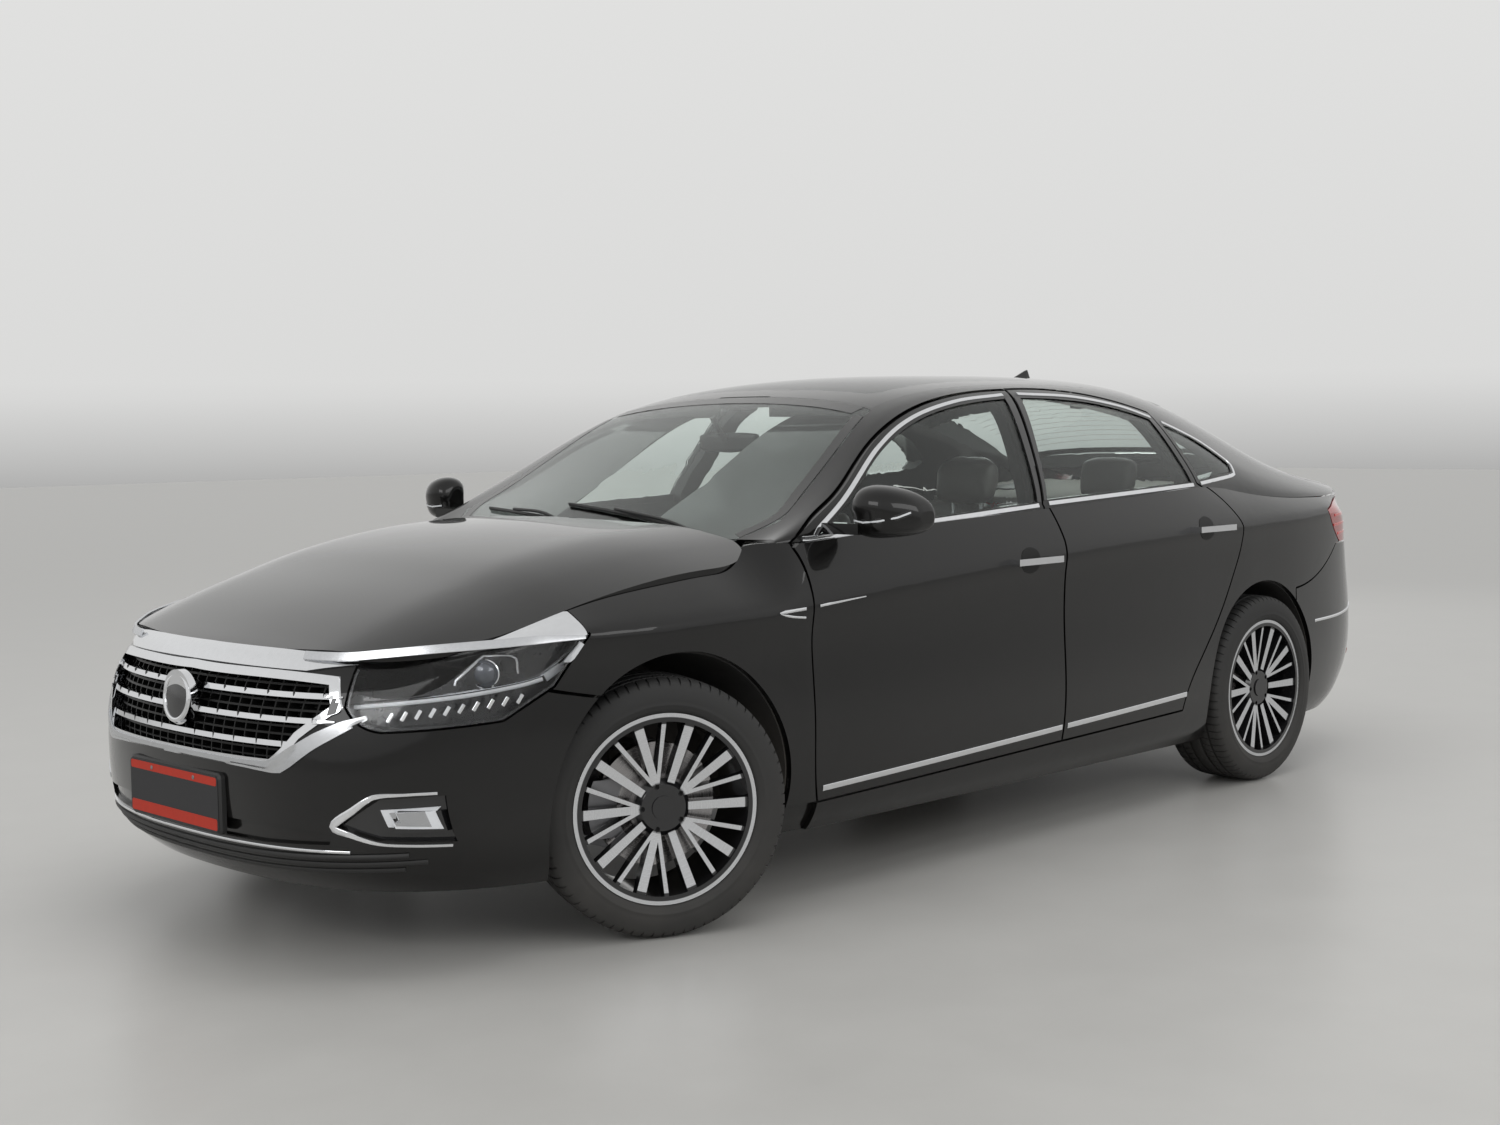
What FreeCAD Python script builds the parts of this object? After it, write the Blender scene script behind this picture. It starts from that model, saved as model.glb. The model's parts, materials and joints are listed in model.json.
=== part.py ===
import FreeCAD
import Part
import math
import os

Vec = FreeCAD.Vector

# Whole car, millimetres, X forward, Y to the car's left, Z up, ground at zero
length = 4948.0
width = 1836.0
height = 1469.0
wheelbase = 2871.0
front_overhang = 930.0
front_track = 1584.0
rear_track = 1568.0

half_length = length / 2
half_width = width / 2
front_axle_x = half_length - front_overhang
rear_axle_x = front_axle_x - wheelbase
rear_overhang = length - wheelbase - front_overhang

# Sheet and gaps
skin = 18.0
tail_deck_share = 0.69
glass_thick = 5.0
panel_gap = 7.0
seat_gap = 0.3
overrun = 60.0

# Sections of the body, foremost station first: place along the car, half width,
# top edge, how far the top edge leans in, height of the side crease
ring_shares = [
    (3, 0, 0.531, 0.161, 0), (2.995, 0.174, 0.532, 0.161, 0), (2.974, 0.349, 0.532, 0.159, 0),
    (2.932, 0.512, 0.534, 0.155, 0), (2.86, 0.654, 0.536, 0.148, 0.5),
    (2.753, 0.768, 0.543, 0.134, 0.507), (2.611, 0.853, 0.55, 0.125, 0.519),
    (2.437, 0.913, 0.569, 0.118, 0.534), (2.232, 0.95, 0.608, 0.129, 0.536),
    (2, 0.973, 0.627, 0.15, 0.539), (1.95, 0.981, 0.639, 0.159, 0.543),
    (1.915, 0.985, 0.645, 0.162, 0.544), (1.884, 0.987, 0.664, 0.159, 0.546),
    (1.859, 0.989, 0.67, 0.102, 0.549), (1.84, 0.991, 0.667, 0.065, 0.551),
    (1.811, 0.992, 0.67, 0.052, 0.555), (1.723, 0.997, 0.681, 0.05, 0.567),
    (1.619, 0.999, 0.691, 0.05, 0.581), (1.514, 1, 0.698, 0.051, 0.594),
    (1.41, 1, 0.705, 0.053, 0.606), (1.305, 0.998, 0.714, 0.057, 0.615),
    (1.201, 0.995, 0.722, 0.063, 0.622), (1.121, 0.99, 0.728, 0.074, 0.626),
    (1.044, 0.985, 0.716, 0.083, 0.63), (1, 0.98, 0.704, 0.076, 0.632),
    (0.806, 0.971, 0.69, 0.068, 0.636), (0.622, 0.952, 0.685, 0.061, 0.639),
    (0.457, 0.922, 0.683, 0.057, 0.641), (0.326, 0.878, 0.684, 0.059, 0.643),
    (0.217, 0.812, 0.689, 0.065, 0.643), (0.134, 0.714, 0.701, 0.081, 0),
    (0.078, 0.577, 0.716, 0.1, 0), (0.038, 0.414, 0.728, 0.113, 0),
    (0.012, 0.218, 0.735, 0.12, 0), (0, 0, 0.737, 0.122, 0),
]

# Upper body: rows of points, front to rear, from the centre line out
roof_centre_shares = [
    (1.877, 0.671), (1.793, 0.767), (1.706, 0.863), (1.619, 0.943), (1.514, 0.987),
    (1.393, 0.999), (1.253, 1), (1.131, 0.994), (1.034, 0.968), (0.849, 0.91), (0.631, 0.835),
    (0.448, 0.771), (0.274, 0.75), (0.101, 0.74),
]
roof_inner_shares = [
    (1.868, 0.414, 0.672), (1.784, 0.403, 0.762), (1.699, 0.376, 0.858), (1.618, 0.338, 0.939),
    (1.514, 0.338, 0.981), (1.393, 0.338, 0.993), (1.253, 0.338, 0.995), (1.131, 0.332, 0.987),
    (1.034, 0.327, 0.96), (0.849, 0.332, 0.9), (0.631, 0.343, 0.825), (0.448, 0.359, 0.765),
    (0.274, 0.359, 0.745), (0.117, 0.359, 0.735),
]
roof_edge_shares = [
    (1.84, 0.779, 0.671), (1.762, 0.768, 0.75), (1.69, 0.708, 0.844), (1.617, 0.643, 0.922),
    (1.514, 0.623, 0.961), (1.393, 0.612, 0.973), (1.253, 0.605, 0.973), (1.131, 0.597, 0.958),
    (1.034, 0.597, 0.924), (0.84, 0.621, 0.862), (0.622, 0.654, 0.79), (0.439, 0.697, 0.742),
    (0.287, 0.664, 0.726), (0.178, 0.643, 0.713),
]
cant_shares = [
    (1.848, 0.861, 0.675), (1.767, 0.88, 0.744), (1.685, 0.806, 0.832), (1.607, 0.759, 0.893),
    (1.511, 0.724, 0.933), (1.393, 0.708, 0.947), (1.253, 0.71, 0.937), (1.133, 0.736, 0.891),
    (1.036, 0.776, 0.823), (0.867, 0.801, 0.763), (0.64, 0.804, 0.727), (0.448, 0.784, 0.713),
    (0.309, 0.752, 0.705), (0.217, 0.714, 0.7),
]
mid_glass_shares = [
    (1.852, 0.888, 0.674), (1.768, 0.917, 0.711), (1.683, 0.877, 0.761), (1.603, 0.855, 0.796),
    (1.511, 0.841, 0.816), (1.393, 0.833, 0.826), (1.253, 0.826, 0.828), (1.13, 0.826, 0.811),
    (1.032, 0.841, 0.776), (0.849, 0.847, 0.732), (0.631, 0.841, 0.71), (0.439, 0.817, 0.699),
    (0.304, 0.779, 0.694), (0.226, 0.741, 0.694),
]
belt_shares = [
    1.854, 1.769, 1.683, 1.602, 1.511, 1.393, 1.253, 1.128, 1.03, 0.832,
    0.622, 0.444, 0.31, 0.235,
]

# Rows of one section, lowest first: height and lean-in, at the side below the
# crease, at the nose and at the tail
side_rows_share = [(0.126, 0.082), (0.153, 0.044), (0.197, 0.024), (0.252, 0.009),
                   (0.327, 0.003), (0.408, 0.01), (0.476, 0.015)]
nose_rows_share = [(0.126, 0.12), (0.145, 0.078), (0.175, 0.034), (0.213, 0.01), (0.265, 0.002),
                   (0.32, 0), (0.365, 0.004), (0.405, 0.017), (0.441, 0.036), (0.473, 0.06),
                   (0.498, 0.085), (0.522, 0.113)]
tail_rows_share = [(0.157, 0.131), (0.167, 0.098), (0.187, 0.06), (0.225, 0.022), (0.286, 0.004),
                   (0.354, 0), (0.422, 0.009), (0.463, 0.028), (0.504, 0.054), (0.545, 0.065),
                   (0.599, 0.072), (0.66, 0.089)]
nose_blend_shares = (2.45, 2.9)
tail_blend_shares = (0.46, 0.14)
crease_soft = 16.0
crease_under = 60.0
crease_under_lean = 9.0
crease_lean = 0.0
over_crease_shares = [(0.35, 0.3), (0.68, 0.63), (1, 1)]
cabin_axis_share = 0.45
belt_lip = 4.0
belt_tuck_in = 14.0
belt_tuck_down = 45.0


def along(share):
    if share > 2:
        return front_axle_x + (share - 2) * front_overhang
    if share > 1:
        return rear_axle_x + (share - 1) * wheelbase
    return -half_length + share * rear_overhang


def across(share):
    return share * half_width


def up(share):
    return share * height


def ease(value, start, end):
    part = (value - start) / (end - start)
    part = min(max(part, 0), 1)
    return part * part * (3 - 2 * part)


# Body ring: one station per section, mirrored past the nose and past the tail
last_station = len(ring_shares) - 1


def plan_point(index):
    flip = 1
    if index < 0:
        index = -index
        flip = -1
    if index > last_station:
        index = 2 * last_station - index
        flip = -flip
    row = ring_shares[index]
    return along(row[0]), flip * across(row[1]), row


def plan_inward(index):
    ahead = plan_point(index - 1)
    behind = plan_point(index + 1)
    step = Vec(behind[0] - ahead[0], behind[1] - ahead[1], 0)
    step.normalize()
    return Vec(-step.y, step.x, 0)


def section_rows(row):
    top = up(row[2])
    top_lean = across(row[3])
    crease = up(row[4])
    nose = ease(row[0], nose_blend_shares[0], nose_blend_shares[1])
    tail = ease(row[0], tail_blend_shares[0], tail_blend_shares[1])
    side = [(up(z), across(lean)) for z, lean in side_rows_share]
    side.append((crease - crease_under, crease_under_lean))
    side.append((crease - crease_soft, crease_lean))
    side.append((crease + crease_soft, crease_lean))
    reach = top - crease - crease_soft
    for high, lean in over_crease_shares:
        side.append((crease + crease_soft + reach * high, max(top_lean * lean, crease_lean)))
    end_rows = nose_rows_share if nose > 0 else tail_rows_share
    ends = [(up(z), across(lean)) for z, lean in end_rows] + [(top, top_lean)]
    weight = max(nose, tail)
    if crease == 0:
        return ends
    return [(a[0] + (b[0] - a[0]) * weight, a[1] + (b[1] - a[1]) * weight)
            for a, b in zip(side, ends)]


def ring_points(first, last, depth, drop=0):
    grid = []
    for index in range(first, last + 1):
        x, y, row = plan_point(index)
        inward = plan_inward(index)
        line = []
        for z, lean in section_rows(row):
            reach = lean + depth
            line.append(Vec(x + inward.x * reach, y + inward.y * reach, z))
        line[-1].z -= drop
        grid.append(line)
    return grid


def even_knots(count, degree):
    spans = count - degree
    return list(range(spans + 1)), [degree + 1] + [1] * (spans - 1) + [degree + 1]


# Moves the inner control rows out, so that the smooth sheet keeps to the sections
def sharpened(grid):
    rows = [list(grid[0])]
    for before, line, after in zip(grid, grid[1:], grid[2:]):
        rows.append([b + (b * 2 - a - c) * (1 / 6) for a, b, c in zip(before, line, after)])
    rows.append(list(grid[-1]))
    return rows


def sheet(grid):
    poles = sharpened(grid)
    degree = 3
    along_knots, along_mults = even_knots(len(poles), degree)
    across_knots, across_mults = even_knots(len(poles[0]), degree)
    surface = Part.BSplineSurface()
    surface.buildFromPolesMultsKnots(poles, along_mults, across_mults, along_knots, across_knots,
                                     False, False, degree, degree)
    return surface.toShape()


def closed_between(outer_grid, inner_grid):
    outer = sheet(outer_grid)
    inner = sheet(inner_grid)
    faces = [outer, inner]
    for one, two in zip(outer.Edges, inner.Edges):
        faces.append(Part.makeRuledSurface(one, two))
    shell = Part.makeShell(faces)
    shell.sewShape()
    solid = Part.makeSolid(shell)
    if solid.Volume < 0:
        shell.reverse()
        solid = Part.makeSolid(shell)
    return solid


def ring_shell(first, last, depth, inner_depth, drop=0):
    outer = ring_points(first, last, depth, drop)
    return closed_between(outer, ring_points(first, last, inner_depth, drop))


ring_top = []
for number in range(last_station + 1):
    spot = ring_points(number, number, 0)[0][-1]
    ring_top.append(spot)


def top_of_side(x):
    for one, two in zip(ring_top, ring_top[1:]):
        if one.x >= x >= two.x:
            part = (one.x - x) / (one.x - two.x)
            return one + (two - one) * part
    return ring_top[-1]


# Upper body: the rows from the centre line of the roof out to the belt
def upper_rows():
    stations = []
    for number, centre in enumerate(roof_centre_shares):
        line = [Vec(along(centre[0]), 0, up(centre[1]))]
        for table in (roof_inner_shares, roof_edge_shares, cant_shares, mid_glass_shares):
            row = table[number]
            line.append(Vec(along(row[0]), across(row[1]), up(row[2])))
        belt = top_of_side(along(belt_shares[number]))
        line.append(belt - Vec(0, belt_lip, belt_lip))
        line.append(line[-1] - Vec(0, belt_tuck_in, belt_tuck_down))
        mirrored = [Vec(p.x, -p.y, p.z) for p in reversed(line[1:])]
        stations.append(mirrored + line)
    return stations


def upper_grid(depth):
    grid = []
    for line in upper_rows():
        moved = []
        for p in line:
            inward = Vec(0, -p.y, up(cabin_axis_share) - p.z)
            inward.normalize()
            moved.append(p + inward * depth)
        grid.append(moved)
    return grid


def upper_shell(depth, inner_depth):
    return closed_between(upper_grid(depth), upper_grid(inner_depth))


# Outlines: runs of two points are straight, longer runs are smooth curves
def run_edge(points):
    if len(points) == 2:
        return Part.makeLine(points[0], points[1])
    curve = Part.BSplineCurve()
    curve.interpolate(points)
    return curve.toShape()


def side_face(runs, grow=0):
    edges = [run_edge([Vec(along(s), 0, up(z)) for s, z in run]) for run in runs]
    return grown_face(edges, grow)


def plan_face(runs, grow=0):
    half = [[Vec(along(s), across(w), 0) for s, w in run] for run in runs]
    other = [[Vec(p.x, -p.y, 0) for p in reversed(run)] for run in reversed(half)]
    return grown_face([run_edge(run) for run in half + other], grow)


def front_face(runs, grow=0, mirrored=True):
    half = [[Vec(0, across(w), up(z)) for w, z in run] for run in runs]
    if mirrored:
        half = half + [[Vec(0, -p.y, p.z) for p in reversed(run)] for run in reversed(half)]
    return grown_face([run_edge(run) for run in half], grow)


def grown(face, grow):
    return face.makeOffset2D(grow).toNurbs().Faces[0]


def grown_face(edges, grow):
    face = Part.Face(Part.Wire(Part.__sortEdges__(edges)))
    if grow:
        face = grown(face, grow)
    return face


def side_prism(face, near, far):
    moved = face.copy()
    moved.translate(Vec(0, near, 0))
    return moved.extrude(Vec(0, far - near, 0))


def top_prism(face, low, high):
    moved = face.copy()
    moved.translate(Vec(0, 0, low))
    return moved.extrude(Vec(0, 0, high - low))


def front_prism(face, rear, front):
    moved = face.copy()
    moved.translate(Vec(rear, 0, 0))
    return moved.extrude(Vec(front - rear, 0, 0))


def box(x0, x1, y0, y1, z0, z1):
    return Part.makeBox(abs(x1 - x0), abs(y1 - y0), abs(z1 - z0),
                        Vec(min(x0, x1), min(y0, y1), min(z0, z1)))


def mirrored(shape):
    return shape.mirror(Vec(0, 0, 0), Vec(0, 1, 0))


def both_sides(shape):
    return Part.makeCompound([shape, mirrored(shape)])

# Doors, seen from the side: edge runs, then their glass
front_door_shares = [
    [(1.435, 0.206), (1.821, 0.185)],
    [(1.821, 0.185), (1.829, 0.242), (1.831, 0.35), (1.832, 0.453), (1.833, 0.537), (1.835, 0.629), (1.84, 0.659)],
    [(1.84, 0.659), (1.824, 0.68), (1.757, 0.748), (1.666, 0.85), (1.593, 0.907), (1.508, 0.941), (1.404, 0.955)],
    [(1.404, 0.955), (1.446, 0.711)],
    [(1.446, 0.711), (1.439, 0.671), (1.435, 0.633)],
    [(1.435, 0.633), (1.435, 0.206)],
]
rear_door_shares = [
    [(1.191, 0.217), (1.432, 0.206)],
    [(1.432, 0.206), (1.432, 0.633)],
    [(1.432, 0.633), (1.436, 0.671), (1.443, 0.711)],
    [(1.443, 0.711), (1.399, 0.956)],
    [(1.399, 0.956), (1.287, 0.952), (1.199, 0.93), (1.135, 0.903)],
    [(1.135, 0.903), (1.119, 0.734)],
    [(1.119, 0.734), (1.081, 0.685), (1.062, 0.63)],
    [(1.062, 0.63), (1.063, 0.585), (1.076, 0.528), (1.103, 0.446), (1.156, 0.334), (1.184, 0.262), (1.191, 0.217)],
]
front_glass_shares = [
    [(1.454, 0.716), (1.798, 0.682)],
    [(1.798, 0.682), (1.757, 0.728), (1.666, 0.832), (1.593, 0.889), (1.508, 0.923), (1.42, 0.937)],
    [(1.42, 0.937), (1.454, 0.716)],
]
rear_glass_shares = [
    [(1.13, 0.739), (1.435, 0.719)],
    [(1.435, 0.719), (1.39, 0.939)],
    [(1.39, 0.939), (1.287, 0.933), (1.199, 0.912), (1.145, 0.888)],
    [(1.145, 0.888), (1.13, 0.739)],
]
quarter_glass_shares = [
    [(1.018, 0.757), (1.11, 0.742)],
    [(1.11, 0.742), (1.122, 0.874)],
    [(1.122, 0.874), (1.048, 0.822), (1.013, 0.776)],
    [(1.013, 0.776), (1.018, 0.757)],
]

# Panel outlines in plan (left half) and from the side or front
windshield_shares = [
    [(1.892, 0), (1.892, 0.61)],
    [(1.892, 0.61), (1.811, 0.786)],
    [(1.811, 0.786), (1.762, 0.747), (1.689, 0.691), (1.618, 0.625)],
    [(1.618, 0.625), (1.61, 0.327), (1.608, 0)],
]
roof_panel_shares = [
    [(1.605, 0), (1.607, 0.327), (1.615, 0.617)],
    [(1.615, 0.617), (1.514, 0.612), (1.393, 0.601), (1.253, 0.594), (1.131, 0.586), (1.051, 0.586)],
    [(1.051, 0.586), (1.04, 0.327), (1.037, 0)],
]
roof_glass_shares = [
    [(1.577, 0), (1.577, 0.479)],
    [(1.577, 0.479), (1.57, 0.512), (1.56, 0.523)],
    [(1.56, 0.523), (1.295, 0.512)],
    [(1.295, 0.512), (1.286, 0.501), (1.281, 0.468)],
    [(1.281, 0.468), (1.281, 0)],
]
rear_window_shares = [
    [(1.034, 0), (1.037, 0.327), (1.048, 0.584)],
    [(1.048, 0.584), (0.893, 0.601), (0.675, 0.632), (0.588, 0.649)],
    [(0.588, 0.649), (0.544, 0.327), (0.535, 0)],
]
hood_shares = [
    [(2.869, 0), (2.856, 0.272), (2.813, 0.51)],
    [(2.813, 0.51), (2.716, 0.697), (2.598, 0.786), (2.494, 0.825)],
    [(2.494, 0.825), (2.298, 0.849), (2.043, 0.859), (1.924, 0.864)],
    [(1.924, 0.864), (1.894, 0.85), (1.87, 0.806), (1.856, 0.719)],
    [(1.856, 0.719), (1.88, 0.436), (1.885, 0)],
]
fender_shares = [
    [(1.824, 0.185), (1.831, 0.242), (1.833, 0.35), (1.834, 0.453), (1.835, 0.537), (1.838, 0.629), (1.843, 0.659)],
    [(1.843, 0.659), (1.849, 0.722)],
    [(1.849, 0.722), (2.303, 0.722)],
    [(2.303, 0.722), (2.303, 0.542)],
    [(2.303, 0.542), (2.383, 0.5), (2.442, 0.462)],
    [(2.442, 0.462), (2.329, 0.446), (2.249, 0.436)],
    [(2.249, 0.436), (2.249, 0.102)],
    [(2.249, 0.102), (1.824, 0.102)],
    [(1.824, 0.102), (1.824, 0.185)],
]
front_bumper_shares = [
    [(2.257, 0.082), (2.257, 0.432)],
    [(2.257, 0.432), (2.335, 0.441), (2.449, 0.457)],
    [(2.449, 0.457), (2.533, 0.504), (2.598, 0.531)],
    [(2.598, 0.531), (3.135, 0.531)],
    [(3.135, 0.531), (3.135, 0.082)],
    [(3.135, 0.082), (2.257, 0.082)],
]
headlamp_shares = [
    [(-1.332, 0.509), (-1.182, 0.521), (-1.031, 0.532), (-0.882, 0.54), (-0.743, 0.543)],
    [(-0.743, 0.543), (-0.792, 0.5), (-0.833, 0.462)],
    [(-0.833, 0.462), (-0.96, 0.413)],
    [(-0.96, 0.413), (-1.105, 0.407), (-1.264, 0.403)],
    [(-1.264, 0.403), (-1.336, 0.421), (-1.36, 0.44)],
    [(-1.36, 0.44), (-1.348, 0.477), (-1.332, 0.509)],
]
chrome_bar_shares = [
    [(0, 0.496), (0.327, 0.495), (0.469, 0.494)],
    [(0.469, 0.494), (0.588, 0.505), (0.697, 0.509)],
    [(0.697, 0.509), (0.828, 0.523)],
    [(0.828, 0.523), (0.98, 0.531)],
    [(0.98, 0.531), (0.98, 0.579)],
    [(0.98, 0.579), (0, 0.579)],
]
grille_shares = [
    [(0, 0.338), (0.43, 0.338)],
    [(0.43, 0.338), (0.458, 0.351), (0.512, 0.388)],
    [(0.512, 0.388), (0.588, 0.428)],
    [(0.588, 0.428), (0.606, 0.436), (0.599, 0.446)],
    [(0.599, 0.446), (0.566, 0.487)],
    [(0.566, 0.487), (0.469, 0.491), (0.327, 0.493), (0, 0.494)],
]
fog_shares = [
    [(0.61, 0.248), (0.697, 0.293)],
    [(0.697, 0.293), (0.812, 0.297)],
    [(0.812, 0.297), (0.815, 0.219)],
    [(0.815, 0.219), (0.697, 0.225)],
    [(0.697, 0.225), (0.61, 0.248)],
]
fog_lens_shares = [
    [(0.722, 0.236), (0.735, 0.274)],
    [(0.735, 0.274), (0.797, 0.272)],
    [(0.797, 0.272), (0.802, 0.238)],
    [(0.802, 0.238), (0.722, 0.236)],
]
lower_intake_shares = [
    [(0, 0.21), (0.37, 0.21)],
    [(0.37, 0.21), (0.585, 0.216)],
    [(0.585, 0.216), (0.598, 0.236)],
    [(0.598, 0.236), (0.37, 0.243)],
    [(0.37, 0.243), (0, 0.242)],
]
rear_bumper_shares = [
    [(0.785, 0.082), (0.785, 0.46)],
    [(0.785, 0.46), (0.596, 0.495), (0.462, 0.56)],
    [(0.462, 0.56), (-0.11, 0.56)],
    [(-0.11, 0.56), (-0.11, 0.082)],
    [(-0.11, 0.082), (0.785, 0.082)],
]
tail_lamp_side_shares = [
    [(0.56, 0.65), (0.474, 0.664), (0.413, 0.671), (-0.11, 0.671)],
    [(-0.11, 0.671), (-0.11, 0.565)],
    [(-0.11, 0.565), (0.423, 0.564)],
    [(0.423, 0.564), (0.5, 0.606), (0.56, 0.65)],
]
boot_lid_plan_shares = [
    [(0.525, 0), (0.534, 0.327), (0.561, 0.643)],
    [(0.561, 0.643), (0.5, 0.697), (0.413, 0.728)],
    [(0.413, 0.728), (0.239, 0.697), (-0.075, 0.664)],
    [(-0.075, 0.664), (-0.075, 0)],
]
boot_lid_back_shares = [
    [(0, 0.477), (0.414, 0.477)],
    [(0.414, 0.477), (0.468, 0.48), (0.496, 0.504)],
    [(0.496, 0.504), (0.523, 0.564)],
    [(0.523, 0.564), (0.654, 0.568)],
    [(0.654, 0.568), (0.654, 0.803)],
    [(0.654, 0.803), (0, 0.803)],
]
hood_crown_shares = [
    (2.963, 0.496), (2.867, 0.523), (2.813, 0.536), (2.705, 0.564), (2.598, 0.59), (2.49, 0.613),
    (2.383, 0.634), (2.275, 0.655), (2.168, 0.671), (2.06, 0.684), (1.969, 0.698), (1.915, 0.705),
    (1.845, 0.711),
]
hood_drop_shares = [
    (0, 0), (0.272, 0.003), (0.436, 0.007), (0.545, 0.011), (0.675, 0.029), (0.763, 0.048),
    (0.85, 0.069), (0.926, 0.09),
]

# Wheel arches
front_arch_radius = 390.0
front_arch_x = front_axle_x - 4.0
front_arch_z = 340.0
rear_arch_radius = 378.0
rear_arch_z = 345.0
liner_thick = 5.0
front_liner_inner_y = 466.0
rear_liner_inner_y = 640.0
liner_foot_z = 250.0
arm_window_half = 110.0
arm_window_z = 510.0

# Doors
door_depth = 90.0
door_frame_depth = 26.0
door_flange_depth = 10.0
door_frame_inset = 14.0
door_box_inset = 40.0
door_air = 8.0
pillar_face = 50.0
sill_inner = 110.0
front_pillar_wide = 12.0
pillar_back = 110.0
rail_face = 34.0
rail_back = 66.0
glass_in = 4.0
door_first = 11
door_last = 26
near_y = half_width / 4
far_y = half_width + overrun


def y_cylinder(radius, x, z, y0, y1):
    return Part.makeCylinder(radius, y1 - y0, Vec(x, y0, z), Vec(0, 1, 0))


def grown_side(face, grow):
    return side_prism(grown(face, grow) if grow else face, near_y, far_y)


def largest(shape):
    return sorted(shape.Solids, key=lambda solid: solid.Volume)[-1]


def cut_all(shape, tools):
    for tool in tools:
        shape = shape.cut(tool)
    return shape


front_arch = y_cylinder(front_arch_radius, front_arch_x, front_arch_z, near_y, far_y)
rear_arch = y_cylinder(rear_arch_radius, rear_axle_x, rear_arch_z, near_y, far_y)
front_door_face = side_face(front_door_shares)
rear_door_face = side_face(rear_door_shares)
front_glass_prism = side_prism(side_face(front_glass_shares), near_y, far_y)
rear_glass_prism = side_prism(side_face(rear_glass_shares), near_y, far_y)
quarter_prism = side_prism(side_face(quarter_glass_shares), near_y, far_y)
windshield_prism = top_prism(plan_face(windshield_shares), 0, height + overrun)
front_pillar_zone = grown_side(front_door_face, front_pillar_wide)
windshield_prism = cut_all(windshield_prism, [front_pillar_zone, mirrored(front_pillar_zone)])
roof_prism = top_prism(plan_face(roof_panel_shares), 0, height + overrun)
roof_glass_prism = top_prism(plan_face(roof_glass_shares), 0, height + overrun)
rear_window_prism = top_prism(plan_face(rear_window_shares), 0, height + overrun)

upper_skin = upper_shell(0, skin)
upper_frame = upper_shell(0, door_frame_depth)
upper_flange = upper_shell(0, door_flange_depth)
upper_glass = upper_shell(glass_in, glass_in + glass_thick)
side_skin = ring_shell(door_first, door_last, 0, skin)
side_box = ring_shell(door_first - 1, door_last + 1, skin / 2, door_depth, belt_lip)
behind_seal = ring_shell(door_first - 2, door_last + 2, pillar_face - door_air, 2 * sill_inner,
                         -2 * door_air)


def make_door(face, glass_prism):
    prism = side_prism(face, near_y, far_y)
    inner = side_prism(grown(face, -door_box_inset), near_y, far_y)
    panel = side_skin.common(prism)
    inside = side_box.common(inner)
    core = side_prism(grown(face, -door_frame_inset), near_y, far_y)
    frame = upper_flange.common(prism).fuse(upper_frame.common(core)).cut(behind_seal.cut(inner))
    panel = panel.fuse([inside, frame]).cut(glass_prism)
    return panel


door_front_left = make_door(front_door_face, front_glass_prism)
door_rear_left = make_door(rear_door_face, rear_glass_prism)
glass_front_left = upper_glass.common(front_glass_prism)
glass_rear_left = upper_glass.common(rear_glass_prism)
quarter_glass_left = upper_glass.common(quarter_prism)

# Body sides: sill, pillars and rear quarter below the belt, cabin frame above it
sill_first = 9
quarter_last = 34
fender_first = 5
fender_last = 15
tail_first = 25
tail_last = 2 * last_station - tail_first
nose_last = 10
sill_lip_z = 265.0
hinge_pillar_share = 1.846
rebate_deep = 14.0
rebate_z = 840.0
quarter_start_x = rear_axle_x + 160.0
boot_seam_z = 1000.0
side_top_z = height + overrun
boot_plan_face = plan_face(boot_lid_plan_shares)
boot_back_face = front_face(boot_lid_back_shares)
rear_bumper_face = side_face(rear_bumper_shares)
front_bumper_face = side_face(front_bumper_shares)
tail_lamp_face = side_face(tail_lamp_side_shares)
tail_x = -half_length - overrun
nose_x = half_length + overrun


upper_layer = upper_shell(-overrun, rail_face)
ring_layer = ring_shell(door_first - 1, door_last + 1, -overrun, pillar_face, -overrun)
left_half = box(tail_x, front_axle_x, near_y / 2, far_y, 0, side_top_z)
fender_layer = ring_shell(fender_first - 2, fender_last + 3, -overrun, skin + seat_gap, -overrun)
fender_zone = fender_layer.common(grown_side(side_face(fender_shares), panel_gap))
rebate_layer = ring_shell(fender_first - 2, fender_last + 3, -overrun, skin + rebate_deep, -overrun)
fender_rebate = rebate_layer.common(grown_side(side_face(fender_shares), panel_gap)).common(
    box(0, nose_x, 0, far_y, rebate_z, side_top_z))
hinge_pillar_end = box(along(hinge_pillar_share), nose_x, near_y, far_y, sill_lip_z, side_top_z)
frame_cuts = [upper_layer.common(grown_side(front_door_face, panel_gap)),
              upper_layer.common(grown_side(rear_door_face, panel_gap)),
              grown_side(front_door_face, door_air - door_box_inset),
              grown_side(rear_door_face, door_air - door_box_inset)]
door_cuts = [ring_layer.common(grown_side(front_door_face, panel_gap)),
             ring_layer.common(grown_side(rear_door_face, panel_gap))]
hollow = ring_shell(sill_first + 10, quarter_last + 1, skin, 2 * sill_inner, -overrun)
hollow = hollow.common(box(tail_x, quarter_start_x, 0, far_y, 0, side_top_z))
boot_gap_plan = top_prism(grown(boot_plan_face, panel_gap), boot_seam_z, side_top_z)
boot_gap_back = front_prism(grown(boot_back_face, panel_gap), tail_x, rear_axle_x - overrun)
body_side_left = ring_shell(sill_first, quarter_last, 0, sill_inner, 0)
body_side_left = cut_all(body_side_left, [hollow, fender_zone, fender_rebate, hinge_pillar_end])
body_side_left = cut_all(body_side_left, door_cuts + frame_cuts)
body_side_left = largest(cut_all(body_side_left, [
    rear_arch, front_arch, grown_side(rear_bumper_face, panel_gap),
    grown_side(tail_lamp_face, panel_gap), boot_gap_plan, boot_gap_back]))

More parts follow.
